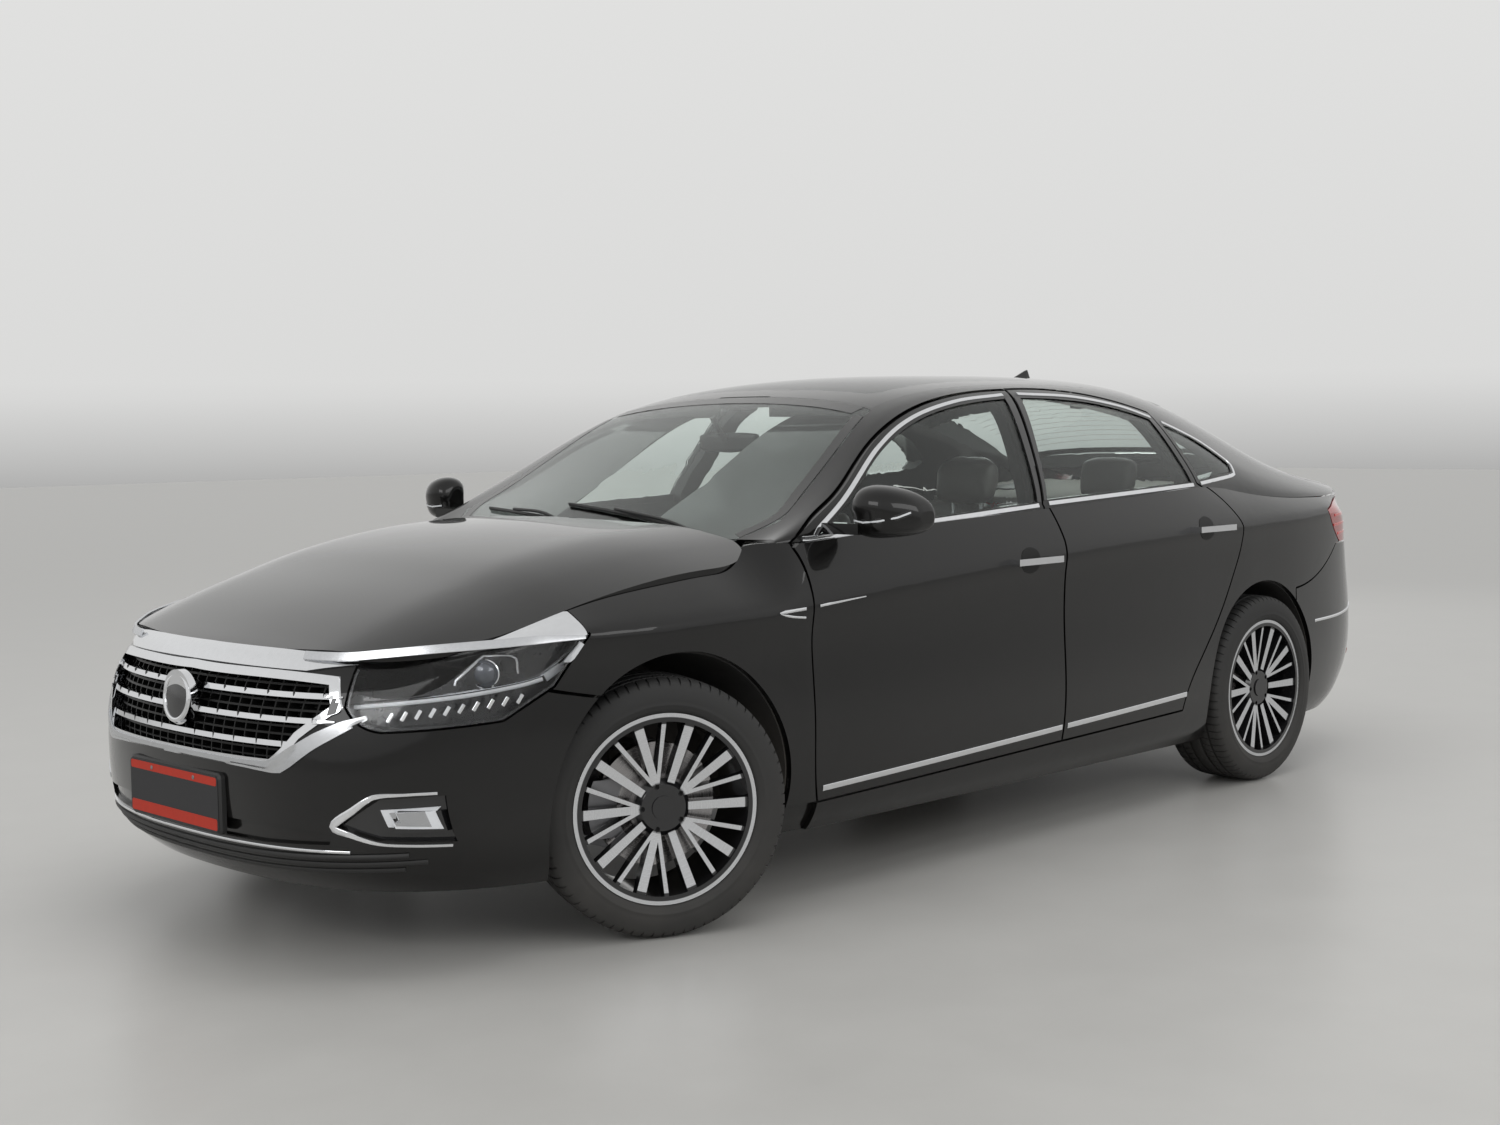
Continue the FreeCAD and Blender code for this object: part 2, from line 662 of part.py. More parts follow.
upper_full = upper_shell(0, rail_back)
ring_block = ring_shell(sill_first, quarter_last, -overrun, 2 * sill_inner, -seat_gap)
cabin_frame_left = cut_all(upper_full.common(left_half), [
    windshield_prism, roof_prism, rear_window_prism,
    top_prism(grown(boot_plan_face, panel_gap), 0, side_top_z), quarter_prism, ring_block] + frame_cuts)

# Front: fenders, bonnet, bumper, lamps and grille
bumper_skin = 16.0
bar_proud = 6.0
bar_depth = 16.0
lens_thick = 4.0
lamp_depth = 110.0
lamp_wall = 6.0
lamp_bowl = 40.0
fog_back_thick = 10.0
fog_back_wide = 12.0
fog_lens_in = 5.0
intake_depth = 11.0
hood_thick = 22.0
hood_gap = 6.0
diagonal = math.sqrt(0.5)

fender_face = side_face(fender_shares)
grille_face = front_face(grille_shares)
bar_face = front_face(chrome_bar_shares)
fog_face = front_face(fog_shares, 0, False)
hood_face = plan_face(hood_shares)


def diagonal_prism(runs, grow, near, far):
    edges = []
    for run in runs:
        points = []
        for w, z in run:
            sideways = across(w) * diagonal
            points.append(Vec(near * diagonal - sideways, near * diagonal + sideways, up(z)))
        edges.append(run_edge(points))
    face = grown_face(edges, grow)
    reach = (far - near) * diagonal
    return face.extrude(Vec(reach, reach, 0))


lamp_near = front_axle_x
lamp_far = half_length + overrun
headlamp_prism = diagonal_prism(headlamp_shares, 0, lamp_near, lamp_far)
headlamp_gap = diagonal_prism(headlamp_shares, hood_gap, lamp_near, lamp_far)
front_fender_left = ring_shell(fender_first - 2, fender_last + 3, 0, skin)
front_fender_left = front_fender_left.common(side_prism(fender_face, near_y, far_y))
hood_opening = top_prism(grown(hood_face, hood_gap), sill_lip_z, side_top_z)
sill_below = box(0, front_axle_x, 0, far_y, 0, sill_lip_z + hood_gap)
front_fender_left = cut_all(front_fender_left, [front_arch, headlamp_gap, hood_opening, sill_below])

nose_skin = ring_shell(-nose_last, nose_last, 0, bumper_skin)
grille_prism = front_prism(grille_face, front_axle_x, nose_x)
bar_prism = front_prism(bar_face, front_axle_x, nose_x)
fog_prism = front_prism(fog_face, front_axle_x, nose_x)
front_bumper = nose_skin.common(side_prism(front_bumper_face, -far_y, far_y))
intake_groove = ring_shell(-nose_last, nose_last, -overrun, intake_depth).common(
    front_prism(front_face(lower_intake_shares), front_axle_x, nose_x))
front_bumper = cut_all(front_bumper, [
    front_arch, mirrored(front_arch), headlamp_gap, mirrored(headlamp_gap), grille_prism,
    bar_prism, fog_prism, mirrored(fog_prism), intake_groove])
fog_back_prism = front_prism(front_face(fog_shares, fog_back_wide, False), front_axle_x, nose_x)
fog_lens_prism = front_prism(front_face(fog_lens_shares, 0, False), front_axle_x, nose_x)
fog_depth = bumper_skin + seat_gap
fog_lamp_left = ring_shell(-nose_last, nose_last, fog_depth, fog_depth + fog_back_thick).common(fog_back_prism)
fog_lamp_left = fog_lamp_left.fuse(
    ring_shell(-nose_last, nose_last, fog_lens_in, fog_depth + fog_back_thick / 2).common(fog_lens_prism))

headlamp_lens_left = ring_shell(fender_first - 3, nose_last + 1, 0, lens_thick)
headlamp_lens_left = headlamp_lens_left.common(headlamp_prism).cut(hood_opening)
chrome_bar = ring_shell(-nose_last, nose_last, -bar_proud, bar_depth)
chrome_bar = cut_all(chrome_bar.common(bar_prism), [
    side_prism(grown(fender_face, bar_proud), -far_y, far_y), headlamp_prism,
    mirrored(headlamp_prism), hood_opening])


# Bonnet: crowned along the car, falling off to its edges
def hood_sheet(depth):
    grid = []
    for s, high in hood_crown_shares:
        line = []
        for side, falls in [(-1, hood_drop_shares[:0:-1]), (1, hood_drop_shares)]:
            for w, drop in falls:
                line.append(Vec(along(s), side * across(w), up(high - drop) - depth))
        grid.append(line)
    return grid


hood_block = closed_between(hood_sheet(0), hood_sheet(hood_thick))
hood = hood_block.common(top_prism(hood_face, 0, height))

# Headlamp bowls behind the lenses
headlamp_body_left = ring_shell(fender_first - 3, nose_last + 1, lens_thick + seat_gap, lamp_depth)
headlamp_body_left = headlamp_body_left.common(headlamp_prism).cut(hood_opening)
lamp_hollow = ring_shell(fender_first - 4, nose_last + 2, -overrun, lamp_bowl, -overrun)
lamp_hollow = lamp_hollow.common(diagonal_prism(headlamp_shares, -lamp_wall, lamp_near, lamp_far))
headlamp_body_left = headlamp_body_left.cut(lamp_hollow)

# Grille: black louvres behind, bright rows and surround in front
grille_back_depth = 62.0
grille_back_thick = 6.0
louvre_depth = 34.0
louvre_front = 26.0
louvre_high = 5.0
louvre_count = 11
upright_count = 25
upright_wide = 4.0
frame_wide = 20.0
frame_proud = 5.0
frame_depth_in = 24.0
row_count = 3
row_high = 13.0
row_front = 4.0
row_depth = 22.0
emblem_radius = 70.0
emblem_z = 634.0
emblem_thick = 20.0
emblem_sink = 34.0
opening_box = grille_face.BoundBox
grille_ring = ring_shell(-nose_last, nose_last, louvre_front, louvre_front + louvre_depth)
grille_back = ring_shell(-nose_last, nose_last, grille_back_depth - grille_back_thick,
                         grille_back_depth)
bars = []
louvre_pitch = (opening_box.ZMax - opening_box.ZMin) / (louvre_count + 1)
for number in range(1, louvre_count + 1):
    z = opening_box.ZMin + number * louvre_pitch
    bars.append(box(front_axle_x, nose_x, -far_y, far_y, z - louvre_high / 2, z + louvre_high / 2))
upright_pitch = (opening_box.YMax - opening_box.YMin) / (upright_count + 1)
for number in range(1, upright_count + 1):
    y = opening_box.YMin + number * upright_pitch
    bars.append(box(front_axle_x, nose_x, y - upright_wide / 2, y + upright_wide / 2,
                    opening_box.ZMin, opening_box.ZMax))
lattice = bars[0].fuse(bars[1:])
grille = grille_ring.common(lattice.common(grille_prism)).fuse(grille_back.common(grille_prism))
grille = largest(cut_all(grille, [headlamp_gap, mirrored(headlamp_gap)]))

row_pitch = (opening_box.ZMax - opening_box.ZMin) / (row_count + 1)
row_boxes = []
for number in range(1, row_count + 1):
    z = opening_box.ZMin + number * row_pitch
    row_boxes.append(box(front_axle_x, nose_x, -far_y, far_y, z - row_high / 2, z + row_high / 2))
bright_ring = ring_shell(-nose_last, nose_last, -frame_proud, frame_depth_in)
inner_prism = front_prism(grown(grille_face, -frame_wide), front_axle_x, nose_x)
surround = cut_all(bright_ring.common(grille_prism), [inner_prism, headlamp_gap, mirrored(headlamp_gap)])
row_ring = ring_shell(-nose_last, nose_last, row_front, row_depth)
rows = row_ring.common(row_boxes[0].fuse(row_boxes[1:])).common(inner_prism)
rows = cut_all(rows, [headlamp_gap, mirrored(headlamp_gap)])
emblem = Part.makeCylinder(emblem_radius, emblem_thick, Vec(half_length - emblem_sink, 0, emblem_z),
                           Vec(1, 0, 0))
rows = rows.cut(emblem)

# Rear: bumper, boot lid and lamps
lid_skin = 20.0
lamp_rear_depth = 46.0
lamp_flange_wide = 12.0
lamp_flange_depth = 34.0
boot_lamp_inner_share = 0.42
tail_skin = ring_shell(tail_first, tail_last, 0, bumper_skin)
boot_back_gap = front_prism(grown(boot_back_face, panel_gap), tail_x, rear_axle_x - overrun)
rear_bumper = tail_skin.common(side_prism(rear_bumper_face, -far_y, far_y))
rear_bumper = cut_all(rear_bumper, [rear_arch, mirrored(rear_arch), boot_back_gap])
lamp_band = side_prism(tail_lamp_face, -far_y, far_y)
lamp_shell = ring_shell(tail_first, tail_last, 0, lamp_rear_depth).common(lamp_band)
lamp_flange = ring_shell(tail_first, tail_last, skin + 3 * seat_gap, lamp_flange_depth)
lamp_flange = lamp_flange.common(side_prism(grown(tail_lamp_face, panel_gap + lamp_flange_wide), -far_y, far_y))
lamp_flange = lamp_flange.common(box(tail_x, 0, -far_y, far_y, 0, boot_seam_z - seat_gap))
boot_top_gap = top_prism(grown(boot_plan_face, panel_gap), 0, side_top_z)
tail_lamps = cut_all(lamp_shell, [boot_back_gap]).fuse(cut_all(lamp_flange, [boot_back_gap, boot_top_gap]))
lamp_inner_y = across(boot_lamp_inner_share)
boot_lamp_zone = front_prism(boot_back_face, tail_x, rear_axle_x).cut(
    box(tail_x, 0, -lamp_inner_y, lamp_inner_y, 0, side_top_z))
boot_lamps = ring_shell(tail_first, tail_last, 0, lid_skin / 2).common(lamp_band)
boot_lamps = boot_lamps.common(boot_lamp_zone)
boot_lid_back = ring_shell(tail_first, tail_last, 0, lid_skin).common(
    front_prism(boot_back_face, tail_x, rear_axle_x - overrun))
boot_lid_top = upper_shell(0, lid_skin + belt_lip).common(
    top_prism(boot_plan_face, boot_seam_z - overrun, side_top_z))
boot_lid = boot_lid_back.fuse(boot_lid_top).cut(boot_lamps)

# Wheels: tyre, twenty-spoke rim with hub and brake disc
tyre_radius = 334.0
tyre_width = 235.0
rim_radius = 229.0
flange_radius = 246.0
flange_thick = 7.0
rim_width = 212.0
barrel_wall = 5.0
hub_radius = 74.0
hub_depth = 62.0
hub_face_in = 22.0
cap_radius = 31.0
cap_proud = 4.0
hub_bevel = 14.0
bore_radius = 24.0
disc_radius = 160.0
disc_thick = 26.0
disc_in = 62.0
disc_hat_radius = 82.0
bolt_circle_radius = 57.0
bolt_radius = 7.0
bolt_count = 5
spoke_pairs = 10
spoke_front_in = 6.0
spoke_depth_rim = 26.0
spoke_depth_hub = 46.0
wide_start_radius = 66.0
wide_hub_half = 10.0
wide_rim_half = 13.0
thin_start_radius = 58.0
thin_hub_half = 5.0
thin_rim_half = 6.0
thin_lean_share = 0.82
tread_crown = 3.0
shoulder_drop = 26.0
shoulder_in = 20.0
side_bulge_radius = 285.0
bead_in = 9.0
axle_z = tyre_radius
steer_rest = -23.6
kingpin_offset = 32.0


def turned(points):
    edges = [Part.makeLine(a, b) for a, b in zip(points, points[1:] + points[:1])]
    return Part.Face(Part.Wire(edges)).revolve(Vec(0, 0, 0), Vec(0, 1, 0), 360)


# Built about the Y axis with the outer face toward +Y
def make_tyre():
    half = tyre_width / 2
    bead = rim_width / 2
    inside = rim_radius + seat_gap
    tread_half = half - shoulder_in
    face = [Vec(0, half, side_bulge_radius), Vec(0, half - bead_in, flange_radius + seat_gap),
            Vec(0, bead - flange_thick - seat_gap, flange_radius + seat_gap),
            Vec(0, bead - flange_thick - seat_gap, inside)]
    tread = [Vec(0, tread_half, tyre_radius - tread_crown), Vec(0, tread_half / 2, tyre_radius),
             Vec(0, -tread_half / 2, tyre_radius), Vec(0, -tread_half, tyre_radius - tread_crown)]
    shoulder = Vec(0, half - shoulder_in / 3, tyre_radius - shoulder_drop)
    points = [Vec(0, -face[3].y, inside), face[3], face[2], face[1], face[0], shoulder] + tread
    points += [Vec(0, -shoulder.y, shoulder.z), Vec(0, -half, side_bulge_radius)]
    points += [Vec(0, -face[1].y, face[1].z), Vec(0, -face[2].y, face[2].z)]
    return turned([Vec(p.z, p.y, 0) for p in points])


def spoke(start_radius, end_radius, hub_half, rim_half, lean, angle):
    turn = math.radians(angle)
    bent = math.radians(angle + lean)
    points = []
    for radius, side, where in [(start_radius, -hub_half, bent), (end_radius, -rim_half, turn),
                                (end_radius, rim_half, turn), (start_radius, hub_half, bent)]:
        points.append(Vec(radius * math.cos(where) - side * math.sin(where), 0,
                          radius * math.sin(where) + side * math.cos(where)))
    wire = Part.makePolygon(points + points[:1])
    return Part.Face(wire).extrude(Vec(0, rim_width / 2, 0))


def make_rim():
    half = rim_width / 2
    barrel = turned([Vec(rim_radius, -half, 0), Vec(flange_radius, -half, 0),
                     Vec(flange_radius, -half + flange_thick, 0),
                     Vec(rim_radius, -half + flange_thick, 0),
                     Vec(rim_radius, half - flange_thick, 0),
                     Vec(flange_radius, half - flange_thick, 0), Vec(flange_radius, half, 0),
                     Vec(rim_radius - barrel_wall, half, 0),
                     Vec(rim_radius - barrel_wall, -half, 0)])
    hub = turned([Vec(0, half - hub_face_in - hub_depth, 0),
                  Vec(hub_radius, half - hub_face_in - hub_depth, 0),
                  Vec(hub_radius, half - hub_face_in - hub_bevel, 0),
                  Vec(hub_radius - hub_bevel, half - hub_face_in, 0),
                  Vec(cap_radius, half - hub_face_in, 0),
                  Vec(cap_radius, half - hub_face_in + cap_proud, 0),
                  Vec(0, half - hub_face_in + cap_proud, 0)])
    dish = turned([Vec(0, half - hub_face_in, 0), Vec(hub_radius, half - hub_face_in, 0),
                   Vec(rim_radius, half - spoke_front_in, 0),
                   Vec(rim_radius, half - spoke_front_in - spoke_depth_rim, 0),
                   Vec(hub_radius, half - hub_face_in - spoke_depth_hub, 0),
                   Vec(0, half - hub_face_in - spoke_depth_hub, 0)])
    pitch = 360 / spoke_pairs
    spokes = []
    end = rim_radius - barrel_wall / 2
    for number in range(spoke_pairs):
        centre = number * pitch
        spokes.append(spoke(wide_start_radius, end, wide_hub_half, wide_rim_half, 0, centre))
        side = 1 if number % 2 else -1
        lean = side * pitch / 2 * thin_lean_share
        spokes.append(spoke(thin_start_radius, end, thin_hub_half, thin_rim_half, lean,
                            centre + pitch / 2))
    spokes = Part.makeCompound([dish.common(blade) for blade in spokes])
    disc = turned([Vec(0, half - disc_in, 0), Vec(disc_hat_radius, half - disc_in, 0),
                   Vec(disc_hat_radius, half - disc_in - disc_thick, 0),
                   Vec(disc_radius, half - disc_in - disc_thick, 0),
                   Vec(disc_radius, half - disc_in - 2 * disc_thick, 0),
                   Vec(0, half - disc_in - 2 * disc_thick, 0)])
    rim = barrel.fuse([hub, disc] + spokes.Solids)
    holes = []
    for number in range(bolt_count):
        turn = math.radians(number * 360 / bolt_count)
        spot = Vec(bolt_circle_radius * math.cos(turn), half - hub_face_in - hub_bevel,
                   bolt_circle_radius * math.sin(turn))
        holes.append(Part.makeCylinder(bolt_radius, hub_bevel + cap_proud, spot, Vec(0, 1, 0)))
    return rim.cut(holes)


tyre = make_tyre()
rim = make_rim()

# Places of the wheels; the front pair stands steered to the right
front_wheel_y = front_track / 2
rear_wheel_y = rear_track / 2
kingpin_y = front_wheel_y - kingpin_offset


def placed(shape, x, y, side, steer):
    moved = shape.copy()
    if side < 0:
        moved.rotate(Vec(0, 0, 0), Vec(0, 0, 1), 180)
    moved.translate(Vec(x, side * y, axle_z))
    if steer:
        moved.rotate(Vec(x, side * kingpin_y, 0), Vec(0, 0, 1), steer_rest)
    return moved


# Knuckles: hub carrier, steering pins, caliper
carrier_in = 24.0
carrier_thick = 34.0
carrier_radius = 62.0
carrier_half = 38.0
pin_low_z = 205.0
pin_high_z = 470.0
pin_radius = 15.0
pin_wide = 26.0
post_out = 16.0
pin_eye_high = 24.0
caliper_wide = 74.0
caliper_long = 150.0
caliper_inner_radius = 112.0
caliper_outer_radius = 188.0
caliper_air = 3.0
spindle_radius = 40.0
arm_drop = 4.0
steer_arm_long = 130.0
steer_arm_half = 14.0


def make_knuckle():
    half = rim_width / 2
    disc_face = half - disc_in - disc_thick
    inner_face = disc_face - disc_thick
    back = inner_face - seat_gap
    kingpin = -kingpin_offset
    carrier = Part.makeCylinder(spindle_radius, back - kingpin + pin_wide, Vec(0, kingpin - pin_wide, 0),
                                Vec(0, 1, 0))
    post = box(-pin_wide, pin_wide, kingpin - pin_wide, kingpin + post_out,
               pin_low_z + pin_eye_high - axle_z, pin_high_z - pin_eye_high - axle_z)
    pins = []
    for low, high in ((pin_low_z - pin_eye_high, pin_low_z + pin_eye_high + overrun / 2),
                      (pin_high_z - pin_eye_high - overrun / 2, pin_high_z + pin_eye_high)):
        pins.append(Part.makeCylinder(pin_radius, high - low, Vec(0, kingpin, low - axle_z)))
    arm = box(-steer_arm_long, 0, kingpin - pin_wide, kingpin - pin_wide + 2 * steer_arm_half,
              -carrier_half - steer_arm_half, -carrier_half + steer_arm_half)
    wide = caliper_wide / 2
    middle = (disc_face + inner_face) / 2
    ring_out = Part.makeCylinder(caliper_outer_radius, caliper_wide, Vec(0, middle - wide, 0),
                                 Vec(0, 1, 0))
    ring_in = Part.makeCylinder(caliper_inner_radius, caliper_wide, Vec(0, middle - wide, 0),
                                Vec(0, 1, 0))
    slot = Part.makeCylinder(disc_radius + caliper_air, disc_thick + 2 * caliper_air,
                             Vec(0, inner_face - caliper_air, 0), Vec(0, 1, 0))
    window = box(spindle_radius, caliper_outer_radius, middle - wide, middle + wide,
                 -caliper_long / 2, caliper_long / 2)
    caliper = ring_out.cut(ring_in).common(window).cut(slot)
    bridge = box(0, caliper_inner_radius + carrier_half / 2, kingpin - pin_wide / 2, middle - wide + pin_wide,
                 -carrier_half, carrier_half)
    bridge = bridge.cut(slot)
    return post.fuse(pins + [carrier, arm, caliper, bridge])


knuckle = make_knuckle()

# Under the skin: floor, liners, structure, suspension, engine
floor_thick = 8.0
floor_z = 205.0
tunnel_half = 120.0
tunnel_high = 150.0
firewall_x = 1180.0
firewall_top_z = 900.0
toe_x = 1010.0
toe_z = 330.0
heel_x = 800.0
seat_step_x = -560.0
seat_step_z = 330.0
boot_floor_x = -1004.0
boot_floor_z = 420.0
floor_end_x = -2330.0
floor_half = 700.0
boot_floor_half = 600.0
rail_half = 34.0
rail_y = 415.0
rail_low_z = 500.0
rail_high_z = 590.0
rail_front_x = 2225.0
beam_deep = 60.0
beam_high = 110.0
beam_z = 530.0
beam_half = 480.0
slam_z = 690.0
slam_thick = 26.0
slam_x = 2236.0
slam_deep = 60.0
engine_front_x = 1900.0
engine_rear_x = 1310.0
engine_half = 300.0
engine_low_z = 244.0
engine_high_z = 830.0
engine_round = 30.0
subframe_low_z = 196.0
subframe_high_z = 232.0
subframe_front_x = 1980.0
subframe_rear_x = 1230.0
subframe_half = 380.0
arm_half_inner = 44.0
arm_half_outer = 30.0
arm_thick = 22.0
arm_eye_radius = 18.0
tower_top_z = 860.0
tower_radius = 70.0


def y_extruded(points, half):
    wire = Part.makePolygon([Vec(p[0], -half, p[1]) for p in points + points[:1]])
    return Part.Face(wire).extrude(Vec(0, 2 * half, 0))


def z_extruded(points, low, high):
    wire = Part.makePolygon([Vec(p[0], p[1], low) for p in points + points[:1]])
    return Part.Face(wire).extrude(Vec(0, 0, high - low))


floor_line = [(firewall_x, firewall_top_z), (firewall_x, toe_z + tunnel_high), (toe_x, toe_z),
              (heel_x, floor_z), (seat_step_x, floor_z), (seat_step_x - floor_thick, seat_step_z),
              (boot_floor_x, seat_step_z), (boot_floor_x - floor_thick, boot_floor_z),
              (floor_end_x, boot_floor_z)]
lower_line = [(x - floor_thick, z - floor_thick) for x, z in reversed(floor_line)]
lower_line = [(x + 2 * floor_thick, z) if z > floor_z and x > toe_x - overrun else (x, z)
              for x, z in lower_line]
floor_pan = y_extruded(floor_line + lower_line, floor_half)
tunnel = y_extruded([(toe_x + floor_thick, floor_z - floor_thick), (toe_x, floor_z + tunnel_high),
                     (seat_step_x, floor_z + tunnel_high), (seat_step_x, floor_z - floor_thick)],
                    tunnel_half)
tunnel_air = tunnel.copy()
tunnel_air = y_extruded([(toe_x + 2 * overrun, 0), (toe_x - floor_thick, floor_z + tunnel_high - floor_thick),
                         (seat_step_x + floor_thick, floor_z + tunnel_high - floor_thick),
                         (seat_step_x + floor_thick, 0)], tunnel_half - floor_thick)
floor_pan = floor_pan.fuse(tunnel).cut(tunnel_air)
boot_side = box(tail_x, rear_axle_x + rear_arch_radius + overrun, boot_floor_half, far_y, 0, side_top_z)
floor_pan = cut_all(floor_pan, [boot_side, mirrored(boot_side), front_arch, mirrored(front_arch)])
sill_zone = ring_shell(sill_first, quarter_last, -overrun, sill_inner + seat_gap)
floor_pan = cut_all(floor_pan, [sill_zone, mirrored(sill_zone)])


def make_liner(x, z, radius, inner_y, first, last):
    tube = y_cylinder(radius - seat_gap, x, z, inner_y, far_y)
    tube = tube.cut(y_cylinder(radius - liner_thick, x, z, inner_y + liner_thick, far_y))
    tube = tube.common(box(x - radius, x + radius, 0, far_y, liner_foot_z, side_top_z))
    tube = tube.cut(box(x - arm_window_half, x + arm_window_half, 0, inner_y + 2 * liner_thick,
                        0, arm_window_z))
    return largest(tube.cut(ring_shell(first, last, -2 * overrun, skin + seat_gap)))


front_liner = make_liner(front_arch_x, front_arch_z, front_arch_radius, front_liner_inner_y, 6, 14)
rear_liner = make_liner(rear_axle_x, rear_arch_z, rear_arch_radius, rear_liner_inner_y, 21, 29)
wheel_liners = Part.makeCompound([both_sides(front_liner), both_sides(rear_liner)])

rail = box(firewall_x + floor_thick + seat_gap, rail_front_x, rail_y - rail_half, rail_y + rail_half, rail_low_z, rail_high_z)
slam = box(slam_x - slam_deep, slam_x, -beam_half + overrun, beam_half - overrun, slam_z - slam_thick, slam_z)
post = box(slam_x - slam_deep, slam_x, rail_y - rail_half, rail_y + rail_half, rail_high_z,
           slam_z - slam_thick)
beam = box(rail_front_x, rail_front_x + beam_deep, -beam_half + overrun, beam_half - overrun,
           beam_z - beam_high / 2, beam_z + beam_high / 2)
front_structure = beam.fuse([slam, rail, mirrored(rail), post, mirrored(post)])

engine = box(engine_rear_x, engine_front_x, -engine_half, engine_half, engine_low_z, engine_high_z)
engine = engine.makeFillet(engine_round, engine.Edges)

subframe = box(subframe_rear_x, subframe_front_x, -subframe_half, subframe_half, subframe_low_z,
               subframe_high_z)
subframe_hole = box(subframe_rear_x + 2 * overrun, subframe_front_x - 2 * overrun,
                    -subframe_half + 2 * overrun, subframe_half - 2 * overrun, 0, side_top_z)


def make_arm(x, inner_y, pin_z):
    outer = kingpin_y
    low = pin_z - arm_thick / 2
    blade = z_extruded([(x - arm_half_inner, inner_y), (x + arm_half_inner, inner_y),
                        (x + arm_half_outer, outer - pin_eye_high), (x + arm_half_outer / 2, outer),
                        (x - arm_half_outer / 2, outer), (x - arm_half_outer, outer - pin_eye_high)],
                       low, low + arm_thick)
    eye = Part.makeCylinder(arm_eye_radius, arm_thick, Vec(x, outer, low))
    return blade.fuse(eye)


pin_bore = pin_radius + seat_gap
arms = []
for pin_z in (pin_low_z, pin_high_z):
    arm = make_arm(front_axle_x, subframe_half - overrun, pin_z)
    arm = arm.cut(Part.makeCylinder(pin_bore, height, Vec(front_axle_x, kingpin_y, 0)))
    arms.append(arm)
tower = box(front_axle_x - tower_radius, front_axle_x + tower_radius, subframe_half - tower_radius,
            subframe_half, subframe_low_z, pin_high_z + arm_thick)
subframe = subframe.cut(subframe_hole).fuse([tower, mirrored(tower)])
subframe = subframe.fuse([arms[0], arms[1], mirrored(arms[0]), mirrored(arms[1])])
front_suspension = subframe

carrier_x = rear_axle_x
link_half = 17.0
link_z_low = 250.0
link_z_high = 400.0
rear_frame_half = 330.0
rear_frame_long = 130.0
rear_frame_low_z = 240.0
rear_frame_high_z = 409.0
rear_disc_inner_y = rear_wheel_y + rim_width / 2 - disc_in - 2 * disc_thick
carrier = Part.makeCylinder(carrier_radius, carrier_thick,
                            Vec(rear_axle_x, rear_disc_inner_y - seat_gap - carrier_thick, axle_z),
                            Vec(0, 1, 0))
carrier = carrier.fuse(box(rear_axle_x - link_half, rear_axle_x + link_half,
                           rear_disc_inner_y - seat_gap - carrier_thick,
                           rear_disc_inner_y - seat_gap - carrier_thick / 2,
                           link_z_low - link_half, link_z_high + link_half / 2))
links = []
for z in (link_z_low, link_z_high - link_half):
    links.append(box(rear_axle_x - link_half, rear_axle_x + link_half, rear_frame_half,
                     rear_disc_inner_y - seat_gap - carrier_thick / 2, z - link_half / 2,
                     z + link_half / 2))
rear_corner = carrier.fuse(links)
rear_frame = box(rear_axle_x - rear_frame_long, rear_axle_x + rear_frame_long, -rear_frame_half,
                 rear_frame_half, rear_frame_low_z, rear_frame_high_z)
rear_suspension = rear_frame.fuse([rear_corner, mirrored(rear_corner)])

# Tank and exhaust
tank_front_x = -590.0
tank_rear_x = -930.0
tank_half = 480.0
tank_low_z = 190.0
tank_round = 24.0
fuel_tank = box(tank_rear_x, tank_front_x, -tank_half, tank_half, tank_low_z,
                seat_step_z - floor_thick - seat_gap)
fuel_tank = fuel_tank.makeFillet(tank_round, [e for e in fuel_tank.Edges
                                              if e.BoundBox.ZMax < seat_step_z - tank_round])
muffler_x0 = -2100.0
muffler_x1 = -1740.0
muffler_y = 330.0
muffler_radius = 95.0
muffler_z = boot_floor_z - floor_thick - muffler_radius - seat_gap
pipe_radius = 27.0
pipe_z = 250.0
tail_pipe_end_x = -2240.0
muffler = Part.makeCylinder(muffler_radius, muffler_x1 - muffler_x0, Vec(muffler_x0, -muffler_y, muffler_z),
                            Vec(1, 0, 0))
tail_pipe = Part.makeCylinder(pipe_radius, muffler_x0 - tail_pipe_end_x + overrun,
                              Vec(tail_pipe_end_x, -muffler_y - muffler_radius / 2, muffler_z - muffler_radius / 2),
                              Vec(1, 0, 0))
exhaust = muffler.fuse(tail_pipe)


# Cabin outlines, seen from the side
dash_shares = [
    [(1.85, 0.385), (1.85, 0.633)],
    [(1.85, 0.633), (1.804, 0.645), (1.751, 0.636)],
    [(1.751, 0.636), (1.736, 0.613), (1.737, 0.579)],
    [(1.737, 0.579), (1.745, 0.47), (1.77, 0.385)],
    [(1.77, 0.385), (1.85, 0.385)],
]
console_shares = [
    [(1.77, 0.385), (1.734, 0.368), (1.685, 0.34)],
    [(1.685, 0.34), (1.41, 0.34)],
    [(1.41, 0.34), (1.41, 0.242)],
    [(1.41, 0.242), (1.811, 0.242)],
    [(1.811, 0.242), (1.77, 0.385)],
]
seat_cushion_shares = [
    [(1.403, 0.218), (1.396, 0.286)],
    [(1.396, 0.286), (1.48, 0.306), (1.563, 0.32)],
    [(1.563, 0.32), (1.577, 0.3), (1.574, 0.259)],
    [(1.574, 0.259), (1.563, 0.218)],
    [(1.563, 0.218), (1.403, 0.218)],
]
seat_back_shares = [
    [(1.401, 0.272), (1.441, 0.286)],
    [(1.441, 0.286), (1.417, 0.477), (1.386, 0.654)],
    [(1.386, 0.654), (1.375, 0.681), (1.361, 0.671)],
    [(1.361, 0.671), (1.368, 0.545), (1.396, 0.327), (1.401, 0.272)],
]
